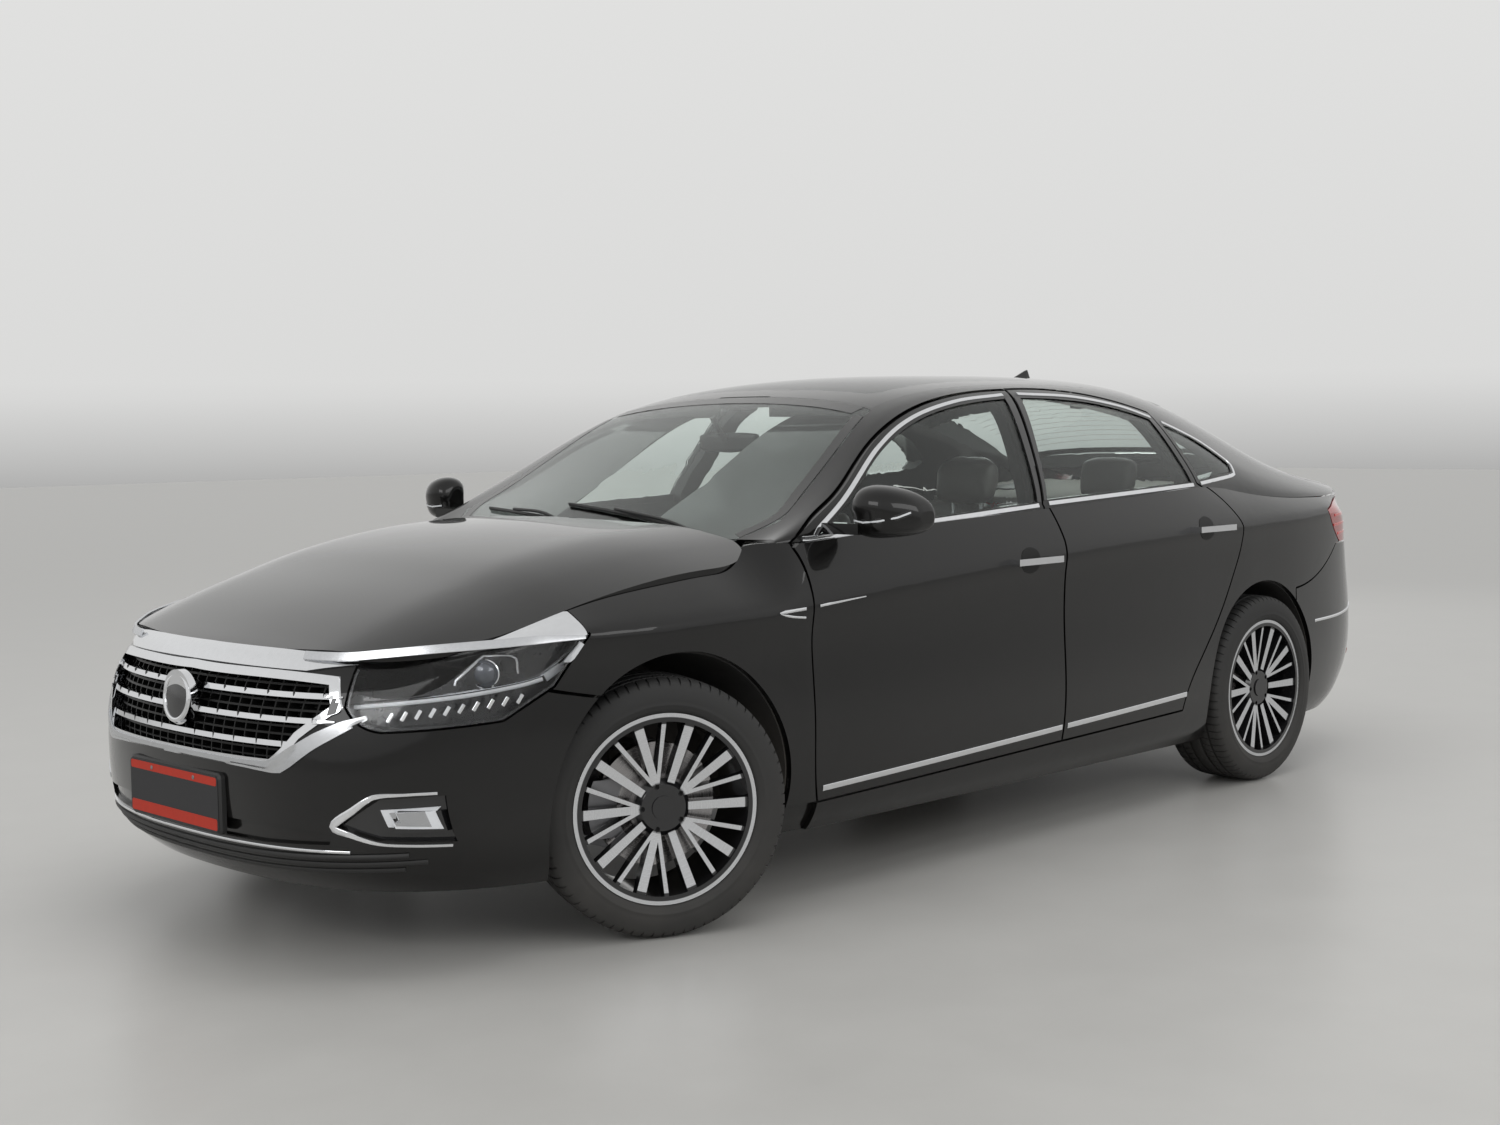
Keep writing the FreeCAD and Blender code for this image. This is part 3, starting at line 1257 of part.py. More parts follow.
headrest_shares = [
    [(1.368, 0.694), (1.384, 0.701)],
    [(1.384, 0.701), (1.384, 0.756), (1.377, 0.796)],
    [(1.377, 0.796), (1.365, 0.807), (1.352, 0.793)],
    [(1.352, 0.793), (1.354, 0.742), (1.368, 0.694)],
]
rear_cushion_shares = [
    [(1.264, 0.225), (1.264, 0.3)],
    [(1.264, 0.3), (1.253, 0.325), (1.232, 0.328)],
    [(1.232, 0.328), (1.114, 0.306)],
    [(1.114, 0.306), (1.131, 0.225)],
    [(1.131, 0.225), (1.264, 0.225)],
]
rear_back_shares = [
    [(1.13, 0.313), (1.093, 0.531), (1.069, 0.671)],
    [(1.069, 0.671), (1.055, 0.688), (1.037, 0.681)],
    [(1.037, 0.681), (1.079, 0.477), (1.103, 0.3)],
    [(1.103, 0.3), (1.13, 0.313)],
]
dash_half = 680.0
console_half = 125.0
seat_y = 375.0
seat_half = 255.0
back_half = 240.0
headrest_half = 130.0
seat_base_half = 190.0
rear_seat_half = 620.0
rear_headrest_y = 330.0
headrest_post_radius = 7.0
headrest_post_y = 60.0
wheel_centre_x = 455.0
wheel_centre_z = 800.0
wheel_rim_radius = 185.0
wheel_grip_radius = 14.0
wheel_tilt = 24.0
column_radius = 32.0
column_long = 560.0
wheel_hub_radius = 62.0
wheel_hub_thick = 40.0
spoke_half_wide = 16.0
spoke_half_thick = 7.0


def side_block(shares, centre_y, half):
    face = side_face(shares)
    face.translate(Vec(0, centre_y - half, 0))
    return face.extrude(Vec(0, 2 * half, 0))


dashboard = side_block(dash_shares, 0, dash_half)
console = side_block(console_shares, 0, console_half)
dashboard = largest(dashboard.fuse(console).cut(sill_zone).cut(mirrored(sill_zone)))
tilt = math.radians(wheel_tilt)
column_axis = Vec(-math.cos(tilt), 0, math.sin(tilt))
wheel_centre = Vec(wheel_centre_x, seat_y, wheel_centre_z)
column_end = wheel_centre - column_axis * (wheel_hub_thick / 2 + seat_gap)
column = Part.makeCylinder(column_radius, column_long, column_end - column_axis * column_long, column_axis)
dashboard = dashboard.fuse(column)

grip = Part.makeTorus(wheel_rim_radius, wheel_grip_radius, wheel_centre, column_axis)
wheel_hub = Part.makeCylinder(wheel_hub_radius, wheel_hub_thick,
                              wheel_centre - column_axis * (wheel_hub_thick / 2), column_axis)
flat_spokes = [box(-spoke_half_thick, spoke_half_thick, -wheel_rim_radius, wheel_rim_radius,
                   -spoke_half_wide, spoke_half_wide),
               box(-spoke_half_thick, spoke_half_thick, -spoke_half_wide, spoke_half_wide,
                   -wheel_rim_radius, 0)]
steering_wheel = grip
for bar in flat_spokes:
    bar.rotate(Vec(0, 0, 0), Vec(0, 1, 0), wheel_tilt)
    bar.translate(wheel_centre)
    steering_wheel = steering_wheel.fuse(bar)
steering_wheel = steering_wheel.fuse(wheel_hub)


def front_seat(side):
    y = side * seat_y
    cushion = side_block(seat_cushion_shares, y, seat_half)
    back = side_block(seat_back_shares, y, back_half)
    rest = side_block(headrest_shares, y, headrest_half)
    base_low = floor_z + seat_gap
    base = box(cushion.BoundBox.XMin + overrun, cushion.BoundBox.XMax - 2 * overrun,
               y - seat_base_half, y + seat_base_half, base_low, cushion.BoundBox.ZMin + seat_gap)
    posts = []
    for place in (-headrest_post_y, headrest_post_y):
        posts.append(Part.makeCylinder(headrest_post_radius,
                                       rest.BoundBox.Center.z - back.BoundBox.ZMax + overrun,
                                       Vec(rest.BoundBox.Center.x, y + place,
                                           back.BoundBox.ZMax - overrun)))
    return cushion.fuse([back, base, rest] + posts)


front_seats = Part.makeCompound([front_seat(1), front_seat(-1)])
rear_seat = side_block(rear_cushion_shares, 0, rear_seat_half)
rear_seat = rear_seat.fuse(side_block(rear_back_shares, 0, rear_seat_half))

# Cowl under the windscreen
cowl_front_x = 1262.0
cowl_rear_x = 1122.0
cowl_z = 962.0
cowl_thick = 60.0
cowl_half = 660.0
cowl = box(cowl_rear_x, cowl_front_x, -cowl_half, cowl_half, cowl_z - cowl_thick, cowl_z)
cowl = largest(cut_all(cowl, [sill_zone, mirrored(sill_zone), hood_opening]))

# Mirrors and door pulls
mirror_front_x = 955.0
mirror_rear_x = 775.0
mirror_inner_y = 925.0
mirror_outer_y = 1098.0
mirror_low_z = 990.0
mirror_high_z = 1136.0
mirror_arm_x = 925.0
mirror_arm_half = 26.0
mirror_arm_z = 1016.0
mirror_arm_high = 30.0
mirror_arm_in = 100.0
mirror_arm_out = 40.0
mirror_corner_share = 0.76
mirror_back_share = 0.88
handle_long = 224.0
handle_high = 20.0
handle_thick = 16.0
handle_out = 22.0
handle_foot = 30.0
front_handle_x = 100.0
front_handle_z = 880.0
rear_handle_x = -912.0
rear_handle_z = 931.0
# Each section of the mirror: place across, then its front, rear, lower and upper edges
mirror_shares = [
    (0.0, 0.76, 0.5, 0.22, 0.72),
    (0.08, 0.92, 0.42, 0.07, 0.92),
    (0.36, 1.0, 0.28, 0.0, 1.0),
    (0.72, 0.86, 0.12, 0.04, 0.9),
    (0.94, 0.56, 0.02, 0.14, 0.68),
    (1.0, 0.38, 0.06, 0.28, 0.5),
]


def mirror_section(row):
    span_x = mirror_front_x - mirror_rear_x
    span_z = mirror_high_z - mirror_low_z
    y = mirror_inner_y + (mirror_outer_y - mirror_inner_y) * row[0]
    front = mirror_rear_x + span_x * row[1]
    rear = mirror_rear_x + span_x * row[2]
    low = mirror_low_z + span_z * row[3]
    high = mirror_low_z + span_z * row[4]
    mid_x = (front + rear) / 2
    mid_z = (low + high) / 2
    wide = (front - rear) / 2
    tall = (high - low) / 2
    points = [Vec(front, y, mid_z), Vec(mid_x + wide * mirror_corner_share, y, mid_z + tall * mirror_corner_share),
              Vec(mid_x, y, high), Vec(mid_x - wide * mirror_back_share, y, mid_z + tall * mirror_corner_share),
              Vec(rear, y, mid_z), Vec(mid_x - wide * mirror_back_share, y, mid_z - tall * mirror_corner_share),
              Vec(mid_x, y, low), Vec(mid_x + wide * mirror_corner_share, y, mid_z - tall * mirror_corner_share)]
    curve = Part.BSplineCurve()
    curve.interpolate(points, PeriodicFlag=True)
    return Part.Wire(curve.toShape())


housing = Part.makeLoft([mirror_section(row) for row in mirror_shares], True, False)
mirror_arm = box(mirror_arm_x - mirror_arm_half, mirror_arm_x + mirror_arm_half,
                 mirror_inner_y - mirror_arm_in, mirror_inner_y + mirror_arm_out,
                 mirror_arm_z - mirror_arm_high / 2, mirror_arm_z + mirror_arm_high / 2)
mirror_left = largest(housing.fuse(mirror_arm).cut(door_front_left).cut(glass_front_left))


def make_handle(x, z, door):
    half = handle_long / 2
    probe = door.common(box(x - half, x + half, near_y, far_y, z - handle_high / 2, z + handle_high / 2))
    skin_y = probe.BoundBox.YMax
    bar = box(x - half, x + half, skin_y + handle_out, skin_y + handle_out + handle_thick,
              z - handle_high / 2, z + handle_high / 2)
    feet = []
    for side in (-1, 1):
        middle = x + side * (half - handle_foot / 2)
        feet.append(box(middle - handle_foot / 2, middle + handle_foot / 2, skin_y - handle_out,
                        skin_y + handle_out + handle_thick / 2, z - handle_high / 2, z + handle_high / 2))
    return bar.fuse(feet).cut(door)


handle_front_left = make_handle(front_handle_x, front_handle_z, door_front_left)
handle_rear_left = make_handle(rear_handle_x, rear_handle_z, door_rear_left)

roof = cut_all(upper_skin.common(roof_prism), [windshield_prism, rear_window_prism, roof_glass_prism])
windshield = upper_shell(0, glass_thick).common(windshield_prism)
roof_glass = upper_shell(0, glass_thick).common(roof_glass_prism)
rear_window = upper_shell(0, glass_thick).common(rear_window_prism)

nodes = {
    "floor_pan": floor_pan,
    "body_side_left": body_side_left,
    "body_side_right": mirrored(body_side_left),
    "cabin_frame": both_sides(cabin_frame_left),
    "roof": roof,
    "roof_glass": roof_glass,
    "windshield": windshield,
    "rear_window": rear_window,
    "quarter_glasses": both_sides(quarter_glass_left),
    "front_fenders": both_sides(front_fender_left),
    "front_bumper": front_bumper,
    "grille": grille,
    "grille_chrome": Part.makeCompound([surround, rows, emblem, chrome_bar]),
    "fog_lamps": both_sides(fog_lamp_left),
    "headlamps": both_sides(headlamp_body_left),
    "headlamp_lenses": both_sides(headlamp_lens_left),
    "front_structure": front_structure,
    "engine": engine,
    "cowl": cowl,
    "dashboard": dashboard,
    "front_seats": front_seats,
    "rear_seat": rear_seat,
    "front_suspension": front_suspension,
    "rear_suspension": rear_suspension,
    "fuel_tank": fuel_tank,
    "exhaust": exhaust,
    "wheel_liners": wheel_liners,
    "rear_bumper": rear_bumper,
    "tail_lamps": tail_lamps,
    "hood": hood,
    "boot_lid": boot_lid,
    "boot_lamps": boot_lamps,
    "steering_wheel": steering_wheel,
    "door_front_left": door_front_left,
    "door_front_right": mirrored(door_front_left),
    "door_rear_left": door_rear_left,
    "door_rear_right": mirrored(door_rear_left),
    "glass_front_left": glass_front_left,
    "glass_front_right": mirrored(glass_front_left),
    "glass_rear_left": glass_rear_left,
    "glass_rear_right": mirrored(glass_rear_left),
    "mirror_left": mirror_left,
    "mirror_right": mirrored(mirror_left),
    "handle_front_left": handle_front_left,
    "handle_front_right": mirrored(handle_front_left),
    "handle_rear_left": handle_rear_left,
    "handle_rear_right": mirrored(handle_rear_left),
}
for side, word in ((1, "left"), (-1, "right")):
    nodes["knuckle_" + word] = placed(knuckle, front_axle_x, kingpin_y + kingpin_offset, side, True)
    nodes["tyre_front_" + word] = placed(tyre, front_axle_x, front_wheel_y, side, True)
    nodes["rim_front_" + word] = placed(rim, front_axle_x, front_wheel_y, side, True)
    nodes["tyre_rear_" + word] = placed(tyre, rear_axle_x, rear_wheel_y, side, False)
    nodes["rim_rear_" + word] = placed(rim, rear_axle_x, rear_wheel_y, side, False)

os.makedirs("parts", exist_ok=True)
for name, shape in nodes.items():
    shape.exportStep("parts/" + name + ".step")
    print(name, len(shape.Solids), round(shape.Volume))
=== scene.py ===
import json
import math
import bmesh
import bpy
from mathutils import Matrix, Vector
from mathutils.bvhtree import BVHTree


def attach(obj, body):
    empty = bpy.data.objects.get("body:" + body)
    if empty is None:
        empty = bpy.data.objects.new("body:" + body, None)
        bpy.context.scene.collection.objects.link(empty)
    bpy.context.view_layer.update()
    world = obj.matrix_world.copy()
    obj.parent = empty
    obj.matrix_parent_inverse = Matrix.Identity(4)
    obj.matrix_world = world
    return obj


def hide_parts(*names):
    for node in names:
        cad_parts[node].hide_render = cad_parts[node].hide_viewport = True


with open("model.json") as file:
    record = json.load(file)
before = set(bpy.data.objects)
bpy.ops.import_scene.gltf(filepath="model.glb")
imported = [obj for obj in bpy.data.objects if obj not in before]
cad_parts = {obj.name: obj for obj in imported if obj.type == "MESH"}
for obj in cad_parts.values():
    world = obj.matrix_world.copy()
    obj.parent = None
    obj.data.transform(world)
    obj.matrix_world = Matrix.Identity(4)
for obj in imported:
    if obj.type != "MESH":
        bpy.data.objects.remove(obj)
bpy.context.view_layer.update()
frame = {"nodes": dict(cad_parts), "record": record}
nodes = frame["nodes"]
scene = bpy.context.scene
sides = {1: "left", -1: "right"}
ends = {1: "Outer", -1: "Inner"}

# Camera, where the photograph was taken from
view = {
    "place": (4.8728, 4.4582, 1.3083), "yaw": -135.10, "pitch": -4.127, "roll": -0.688, "lens": 46.35,
    "sensor": 36, "far": 200,
}


def placeCamera():
    yaw, pitch, roll = (math.radians(view[turn]) for turn in ("yaw", "pitch", "roll"))
    forward = Vector((math.cos(pitch) * math.cos(yaw), math.cos(pitch) * math.sin(yaw), math.sin(pitch)))
    right = forward.cross(Vector((0, 0, 1))).normalized()
    above = right.cross(forward)
    across = right * math.cos(roll) + above * math.sin(roll)
    top = above * math.cos(roll) - right * math.sin(roll)
    data = bpy.data.cameras.new("camera")
    data.sensor_width = view["sensor"]
    data.lens = view["lens"]
    data.clip_end = view["far"]
    camera = bpy.data.objects.new("camera", data)
    turned = Matrix((across, top, -forward)).transposed().to_4x4()
    camera.matrix_world = Matrix.Translation(view["place"]) @ turned
    scene.collection.objects.link(camera)
    scene.camera = camera


# Shader nodes: one call sets a node up, with values or with links from other nodes' outputs
def addNode(tree, kind, values, **settings):
    node = tree.nodes.new("ShaderNode" + kind)
    for setting, value in settings.items():
        setattr(node, setting, value)
    for socket, value in values.items():
        if isinstance(value, bpy.types.NodeSocket):
            tree.links.new(value, node.inputs[socket])
        else:
            node.inputs[socket].default_value = value
    return node


def maths(tree, kind, *values, clamp=False):
    return addNode(tree, "Math", dict(enumerate(values)), operation=kind, use_clamp=clamp).outputs[0]


# A mask that rises from nothing to full just past an edge
def pastEdge(tree, value, edge, slope):
    return maths(tree, "MULTIPLY", maths(tree, "SUBTRACT", value, edge), slope, clamp=True)


def blend(tree, factor, one, two):
    return addNode(tree, "Mix", {"Factor": factor, "A": one, "B": two}, data_type="RGBA").outputs["Result"]


def newGroup(name, inputs, outputs):
    group = bpy.data.node_groups.new(name, "ShaderNodeTree")
    for label, kind, value in inputs:
        socket = group.interface.new_socket(name=label, in_out="INPUT", socket_type="NodeSocket" + kind)
        socket.default_value = value
    for label, kind in outputs:
        group.interface.new_socket(name=label, in_out="OUTPUT", socket_type="NodeSocket" + kind)
    return group, group.nodes.new("NodeGroupInput").outputs, group.nodes.new("NodeGroupOutput").inputs


def makeSpeckleGroup():
    group, start, end = newGroup("speckle", [
        ("Vector", "Vector", (0, 0, 0)), ("Size", "Float", 20.0), ("Base", "Color", (0.5, 0.5, 0.5, 1)),
        ("Amount", "Float", 0.1), ("Roughness", "Float", 0.5)],
        [("Color", "Color"), ("Roughness", "Float")])
    noise = addNode(group, "TexNoise", {
        "Vector": start["Vector"], "Scale": start["Size"], "Detail": 6, "Roughness": 0.62}).outputs[0]
    swing = maths(group, "MULTIPLY", maths(group, "SUBTRACT", noise, 0.5), start["Amount"])
    gain = maths(group, "MULTIPLY_ADD", swing, 3.0, 1.0)
    tint = addNode(group, "VectorMath", {0: start["Base"], "Scale": gain}, operation="SCALE")
    group.links.new(tint.outputs[0], end["Color"])
    group.links.new(maths(group, "MULTIPLY_ADD", swing, 1.2, start["Roughness"]), end["Roughness"])
    return group


def makeGrainGroup():
    group, start, end = newGroup("grain", [
        ("Vector", "Vector", (0, 0, 0)), ("Size", "Float", 400.0), ("Depth", "Float", 0.2),
        ("Distance", "Float", 0.001)], [("Normal", "Vector")])
    cells = addNode(group, "TexVoronoi", {"Vector": start["Vector"], "Scale": start["Size"]},
                    feature="SMOOTH_F1")
    fine = addNode(group, "TexNoise", {"Vector": start["Vector"], "Scale": start["Size"], "Detail": 4})
    height = maths(group, "MULTIPLY_ADD", cells.outputs["Distance"], 0.6, fine.outputs[0])
    bump = addNode(group, "Bump", {
        "Height": height, "Strength": start["Depth"], "Distance": start["Distance"]})
    group.links.new(bump.outputs[0], end["Normal"])
    return group


# Dust gathers low on the car, in uneven patches
def makeDustGroup():
    group, start, end = newGroup("dust", [
        ("Vector", "Vector", (0, 0, 0)), ("Low", "Float", 0.15), ("High", "Float", 0.6)], [("Mask", "Float")])
    split = addNode(group, "SeparateXYZ", {0: start["Vector"]})
    fade = addNode(group, "MapRange", {
        "Value": split.outputs["Z"], "From Min": start["Low"], "From Max": start["High"], "To Min": 1,
        "To Max": 0})
    noise = addNode(group, "TexNoise", {"Vector": start["Vector"], "Scale": 9, "Detail": 8})
    group.links.new(maths(group, "MULTIPLY", fade.outputs[0], noise.outputs[0]), end["Mask"])
    return group


speckleGroup = makeSpeckleGroup()
grainGroup = makeGrainGroup()
dustGroup = makeDustGroup()
dustColor = (0.32, 0.29, 0.25, 1)


def newMaterial(name):
    material = bpy.data.materials.new(name)
    material.use_nodes = True
    tree = material.node_tree
    return material, tree, tree.nodes["Principled BSDF"], addNode(tree, "TexCoord", {}).outputs


def useGroup(tree, group, **values):
    return addNode(tree, "Group", values, node_tree=group).outputs


def makeSurface(name, color, roughness, metallic=0.0, speckle=0.08, speckleSize=30.0, grain=0.0,
                grainSize=500.0, coat=0.0, coatRoughness=0.03, dust=0.0, specular=0.5, sheen=0.0,
                stretch=None):
    material, tree, shader, coords = newMaterial(name)
    link = tree.links.new
    place = coords["Object"]
    if stretch:
        place = addNode(tree, "Mapping", {"Vector": place, "Scale": stretch}).outputs[0]
    tone = useGroup(tree, speckleGroup, Vector=place, Size=speckleSize, Amount=speckle, Roughness=roughness,
                    Base=(*color, 1))
    shade = tone["Color"]
    if dust:
        film = useGroup(tree, dustGroup, Vector=coords["Object"])["Mask"]
        shade = blend(tree, maths(tree, "MULTIPLY", film, dust), shade, dustColor)
    link(shade, shader.inputs["Base Color"])
    link(tone["Roughness"], shader.inputs["Roughness"])
    shader.inputs["Metallic"].default_value = metallic
    shader.inputs["Specular IOR Level"].default_value = specular
    shader.inputs["Coat Weight"].default_value = coat
    shader.inputs["Coat Roughness"].default_value = coatRoughness
    shader.inputs["Sheen Weight"].default_value = sheen
    if grain:
        relief = useGroup(tree, grainGroup, Vector=place, Size=grainSize, Depth=grain)
        link(relief["Normal"], shader.inputs["Normal"])
    return material


def makeGlass(name, color, clear, bend=1.42):
    material, tree, shader, coords = newMaterial(name)
    tone = useGroup(tree, speckleGroup, Vector=coords["Object"], Size=4.0, Amount=0.03, Base=(*color, 1))
    tree.links.new(tone["Color"], shader.inputs["Base Color"])
    shader.inputs["Roughness"].default_value = 0
    shader.inputs["Transmission Weight"].default_value = clear
    shader.inputs["IOR"].default_value = bend
    return material


# Room: pale floor, soft light from above and from all round, grey levels of the surroundings from low to high
room = {
    "floorHalf": 40, "floorColor": (0.44, 0.435, 0.42), "floorRoughness": 0.34, "strength": 0.88,
    "warmth": 0.99,
    "levels": [(0.0, 0.22), (0.47, 0.26), (0.494, 0.60), (0.51, 0.80), (0.7, 0.90), (1.0, 0.76)],
    "lights": {
        "topLight": {"place": (0.5, 0.5, 5.5), "aim": (0, 0, 0.5), "wide": 6.0, "high": 3.2, "watts": 120},
        "frontLight": {"place": (7.5, 1.5, 3.6), "aim": (1.5, 0, 0.6), "wide": 4.0, "high": 2.2, "watts": 70},
        "sideLight": {"place": (0.5, 7.5, 3.8), "aim": (0, 0, 0.6), "wide": 7.0, "high": 2.2, "watts": 90},
        "rearLight": {"place": (-7.0, -4.0, 4.0), "aim": (0, 0, 0.8), "wide": 5.0, "high": 2.5, "watts": 60}},
    "mirrored": ("sideLight", "frontLight"),
}


def setStage():
    mesh = bpy.data.meshes.new("floor")
    half = room["floorHalf"]
    mesh.from_pydata([(-half, -half, 0), (half, -half, 0), (half, half, 0), (-half, half, 0)], [],
                     [(0, 1, 2, 3)])
    floor = bpy.data.objects.new("floor", mesh)
    scene.collection.objects.link(floor)
    mesh.materials.append(makeSurface("floorPale", room["floorColor"], room["floorRoughness"], speckle=0.05,
                                      speckleSize=3.0))
    world = bpy.data.worlds.new("room")
    scene.world = world
    world.use_nodes = True
    tree = world.node_tree
    tree.nodes.clear()
    split = addNode(tree, "SeparateXYZ", {0: addNode(tree, "TexCoord", {}).outputs["Generated"]})
    rise = addNode(tree, "MapRange", {"Value": split.outputs["Z"], "From Min": -1})
    ramp = addNode(tree, "ValToRGB", {0: rise.outputs[0]})
    stops = ramp.color_ramp.elements
    while len(stops) < len(room["levels"]):
        stops.new(0.5)
    for stop, (place, level) in zip(stops, room["levels"]):
        stop.position = place
        stop.color = (level, level, level * room["warmth"], 1)
    back = addNode(tree, "Background", {"Color": ramp.outputs[0], "Strength": room["strength"]})
    addNode(tree, "OutputWorld", {"Surface": back.outputs[0]})
    for name, light in room["lights"].items():
        lamp = bpy.data.lights.new(name, "AREA")
        lamp.shape = "RECTANGLE"
        lamp.size = light["wide"]
        lamp.size_y = light["high"]
        lamp.energy = light["watts"]
        holder = bpy.data.objects.new(name, lamp)
        holder.location = light["place"]
        holder.visible_glossy = name in room["mirrored"]
        aim = Vector(light["aim"]) - Vector(light["place"])
        holder.rotation_euler = aim.to_track_quat("-Z", "Y").to_euler()
        scene.collection.objects.link(holder)
    scene.view_settings.view_transform = "Standard"


# Mesh helpers
def addPiece(name, mesh, material, body, slot, smooth=40.0):
    mesh.materials.append(material)
    piece = bpy.data.objects.new(name, mesh)
    scene.collection.objects.link(piece)
    if smooth:
        mesh.polygons.foreach_set("use_smooth", [True] * len(mesh.polygons))
        mesh.set_sharp_from_angle(angle=math.radians(smooth))
    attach(piece, body)
    return piece


def newPiece(name, points, faces, *dress):
    mesh = bpy.data.meshes.new(name)
    mesh.from_pydata([tuple(point) for point in points], [], faces)
    return addPiece(name, mesh, *dress)


def facesOut(piece):
    work = bmesh.new()
    work.from_mesh(piece.data)
    bmesh.ops.recalc_face_normals(work, faces=work.faces)
    work.to_mesh(piece.data)
    work.free()
    return piece


# Faces over rings of points that follow each other, with a cap on either end unless the rings close
def shellFaces(rings, width, start=0, closed=False, flip=False):
    faces = []
    for ring in range(rings if closed else rings - 1):
        low, high = start + ring * width, start + (ring + 1) % rings * width
        for corner in range(width):
            beside = (corner + 1) % width
            quad = (low + corner, low + beside, high + beside, high + corner)
            faces.append((quad[0], quad[3], quad[2], quad[1]) if flip else quad)
    if not closed:
        last = start + (rings - 1) * width
        caps = list(range(start, start + width))[::-1], list(range(last, last + width))
        faces += [tuple(cap[::-1] if flip else cap) for cap in caps]
    return faces


def meshTree(*meshes):
    points, faces = [], []
    for mesh in meshes:
        start = len(points)
        points += [vertex.co.copy() for vertex in mesh.vertices]
        faces += [tuple(start + corner for corner in face.vertices) for face in mesh.polygons]
    return BVHTree.FromPolygons(points, faces)


def treeOf(*names):
    return meshTree(*(nodes[name].data for name in names))


def cast(tree, place, direction):
    point, normal = tree.ray_cast(Vector(place), Vector(direction))[:2]
    if point is None:
        return None, None
    return point, -normal if normal.dot(Vector(direction)) > 0 else normal


# Where a line meets the car, seen from the side, from the front (or the rear) and from above
def hitsAlong(tree, places, direction):
    hits = [cast(tree, place, direction) for place in places]
    return [hit for hit in hits if hit[0] is not None]


def sideHits(tree, line, side):
    return hitsAlong(tree, [(x, side * 1.4, z) for x, z in line], (0, -side, 0))


def frontHits(tree, line, direction=-1):
    return hitsAlong(tree, [(-direction * 3.5, y, z) for y, z in line], (direction, 0, 0))


def topHits(tree, line):
    return hitsAlong(tree, [(x, y, 3.0) for x, y in line], (0, 0, -1))


# A smooth line through given points, in steps of about one length
def smoothLine(points, step, closed=False):
    points = [Vector(p) for p in points]
    if closed:
        points = [points[-1]] + points + points[:2]
    else:
        points = [points[0] * 2 - points[1]] + points + [points[-1] * 2 - points[-2]]
    line = []
    for a, b, c, d in zip(points, points[1:], points[2:], points[3:]):
        count = max(1, round((c - b).length / step))
        for number in range(count):
            t = number / count
            line.append((b * 2 + (c - a) * t + (a * 2 - b * 5 + c * 4 - d) * t * t
                         + (b * 3 - a - c * 3 + d) * t * t * t) / 2)
    if not closed:
        line.append(points[-2])
    return line


def sideLine(pairs, step, closed=False):
    return [(p.x, p.z) for p in smoothLine([(x, 0, z) for x, z in pairs], step, closed)]


def frontLine(pairs, step, side=1):
    return [(side * p.y, p.z) for p in smoothLine([(0, y, z) for y, z in pairs], step)]


def topLine(pairs, step):
    return [(p.x, p.y) for p in smoothLine([(x, y, 0) for x, y in pairs], step)]


# A strip of one cross-section laid along points with normals
def layStrip(name, hits, section, material, body, slot, closed=False, smooth=40.0, taper=None):
    points = []
    total = len(hits)
    for number, (place, normal) in enumerate(hits):
        ahead = hits[(number + 1) % total if closed else min(number + 1, total - 1)][0]
        behind = hits[(number - 1) % total if closed else max(number - 1, 0)][0]
        along = (ahead - behind).normalized()
        across = along.cross(normal).normalized()
        rise = across.cross(along).normalized()
        size = taper(number / max(1, total - 1)) if taper else 1.0
        points += [place + across * sideways * size + rise * out for sideways, out in section]
    faces = shellFaces(total, len(section), closed=closed, flip=True)
    return newPiece(name, points, faces, material, body, slot, smooth)


def flatSection(width, high, sink, edge=0.3):
    half = width / 2
    return [(-half, -sink), (-half, high * (1 - edge)), (-half + high * edge, high), (0, high * 1.12),
            (half - high * edge, high), (half, high * (1 - edge)), (half, -sink)]


# A flat strip, given as width, height and sink (and edge), where enough of its line meets the car
def strip(name, hits, size, *dress, least=4, **more):
    if len(hits) >= least:
        facesOut(layStrip(name, hits, flatSection(*size), *dress, **more))


def roundSection(radius, count=12, flat=1.0, lift=0.0):
    turns = [2 * math.pi * number / count for number in range(count)]
    return [(radius * math.cos(turn), lift + flat * radius * math.sin(turn)) for turn in turns]


def tube(name, points, radius, material, body, slot, count=12, step=0.01):
    line = smoothLine(points, step)
    hits = []
    guide = Vector((0, 0, 1))
    for number, place in enumerate(line):
        along = (line[min(number + 1, len(line) - 1)] - line[max(number - 1, 0)]).normalized()
        if abs(along.dot(guide)) > 0.95:
            guide = Vector((0, 1, 0)) if abs(along.y) < 0.8 else Vector((1, 0, 0))
        guide = (guide - along * guide.dot(along)).normalized()
        hits.append((place, guide.copy()))
    return layStrip(name, hits, roundSection(radius, count), material, body, slot, False, 60)


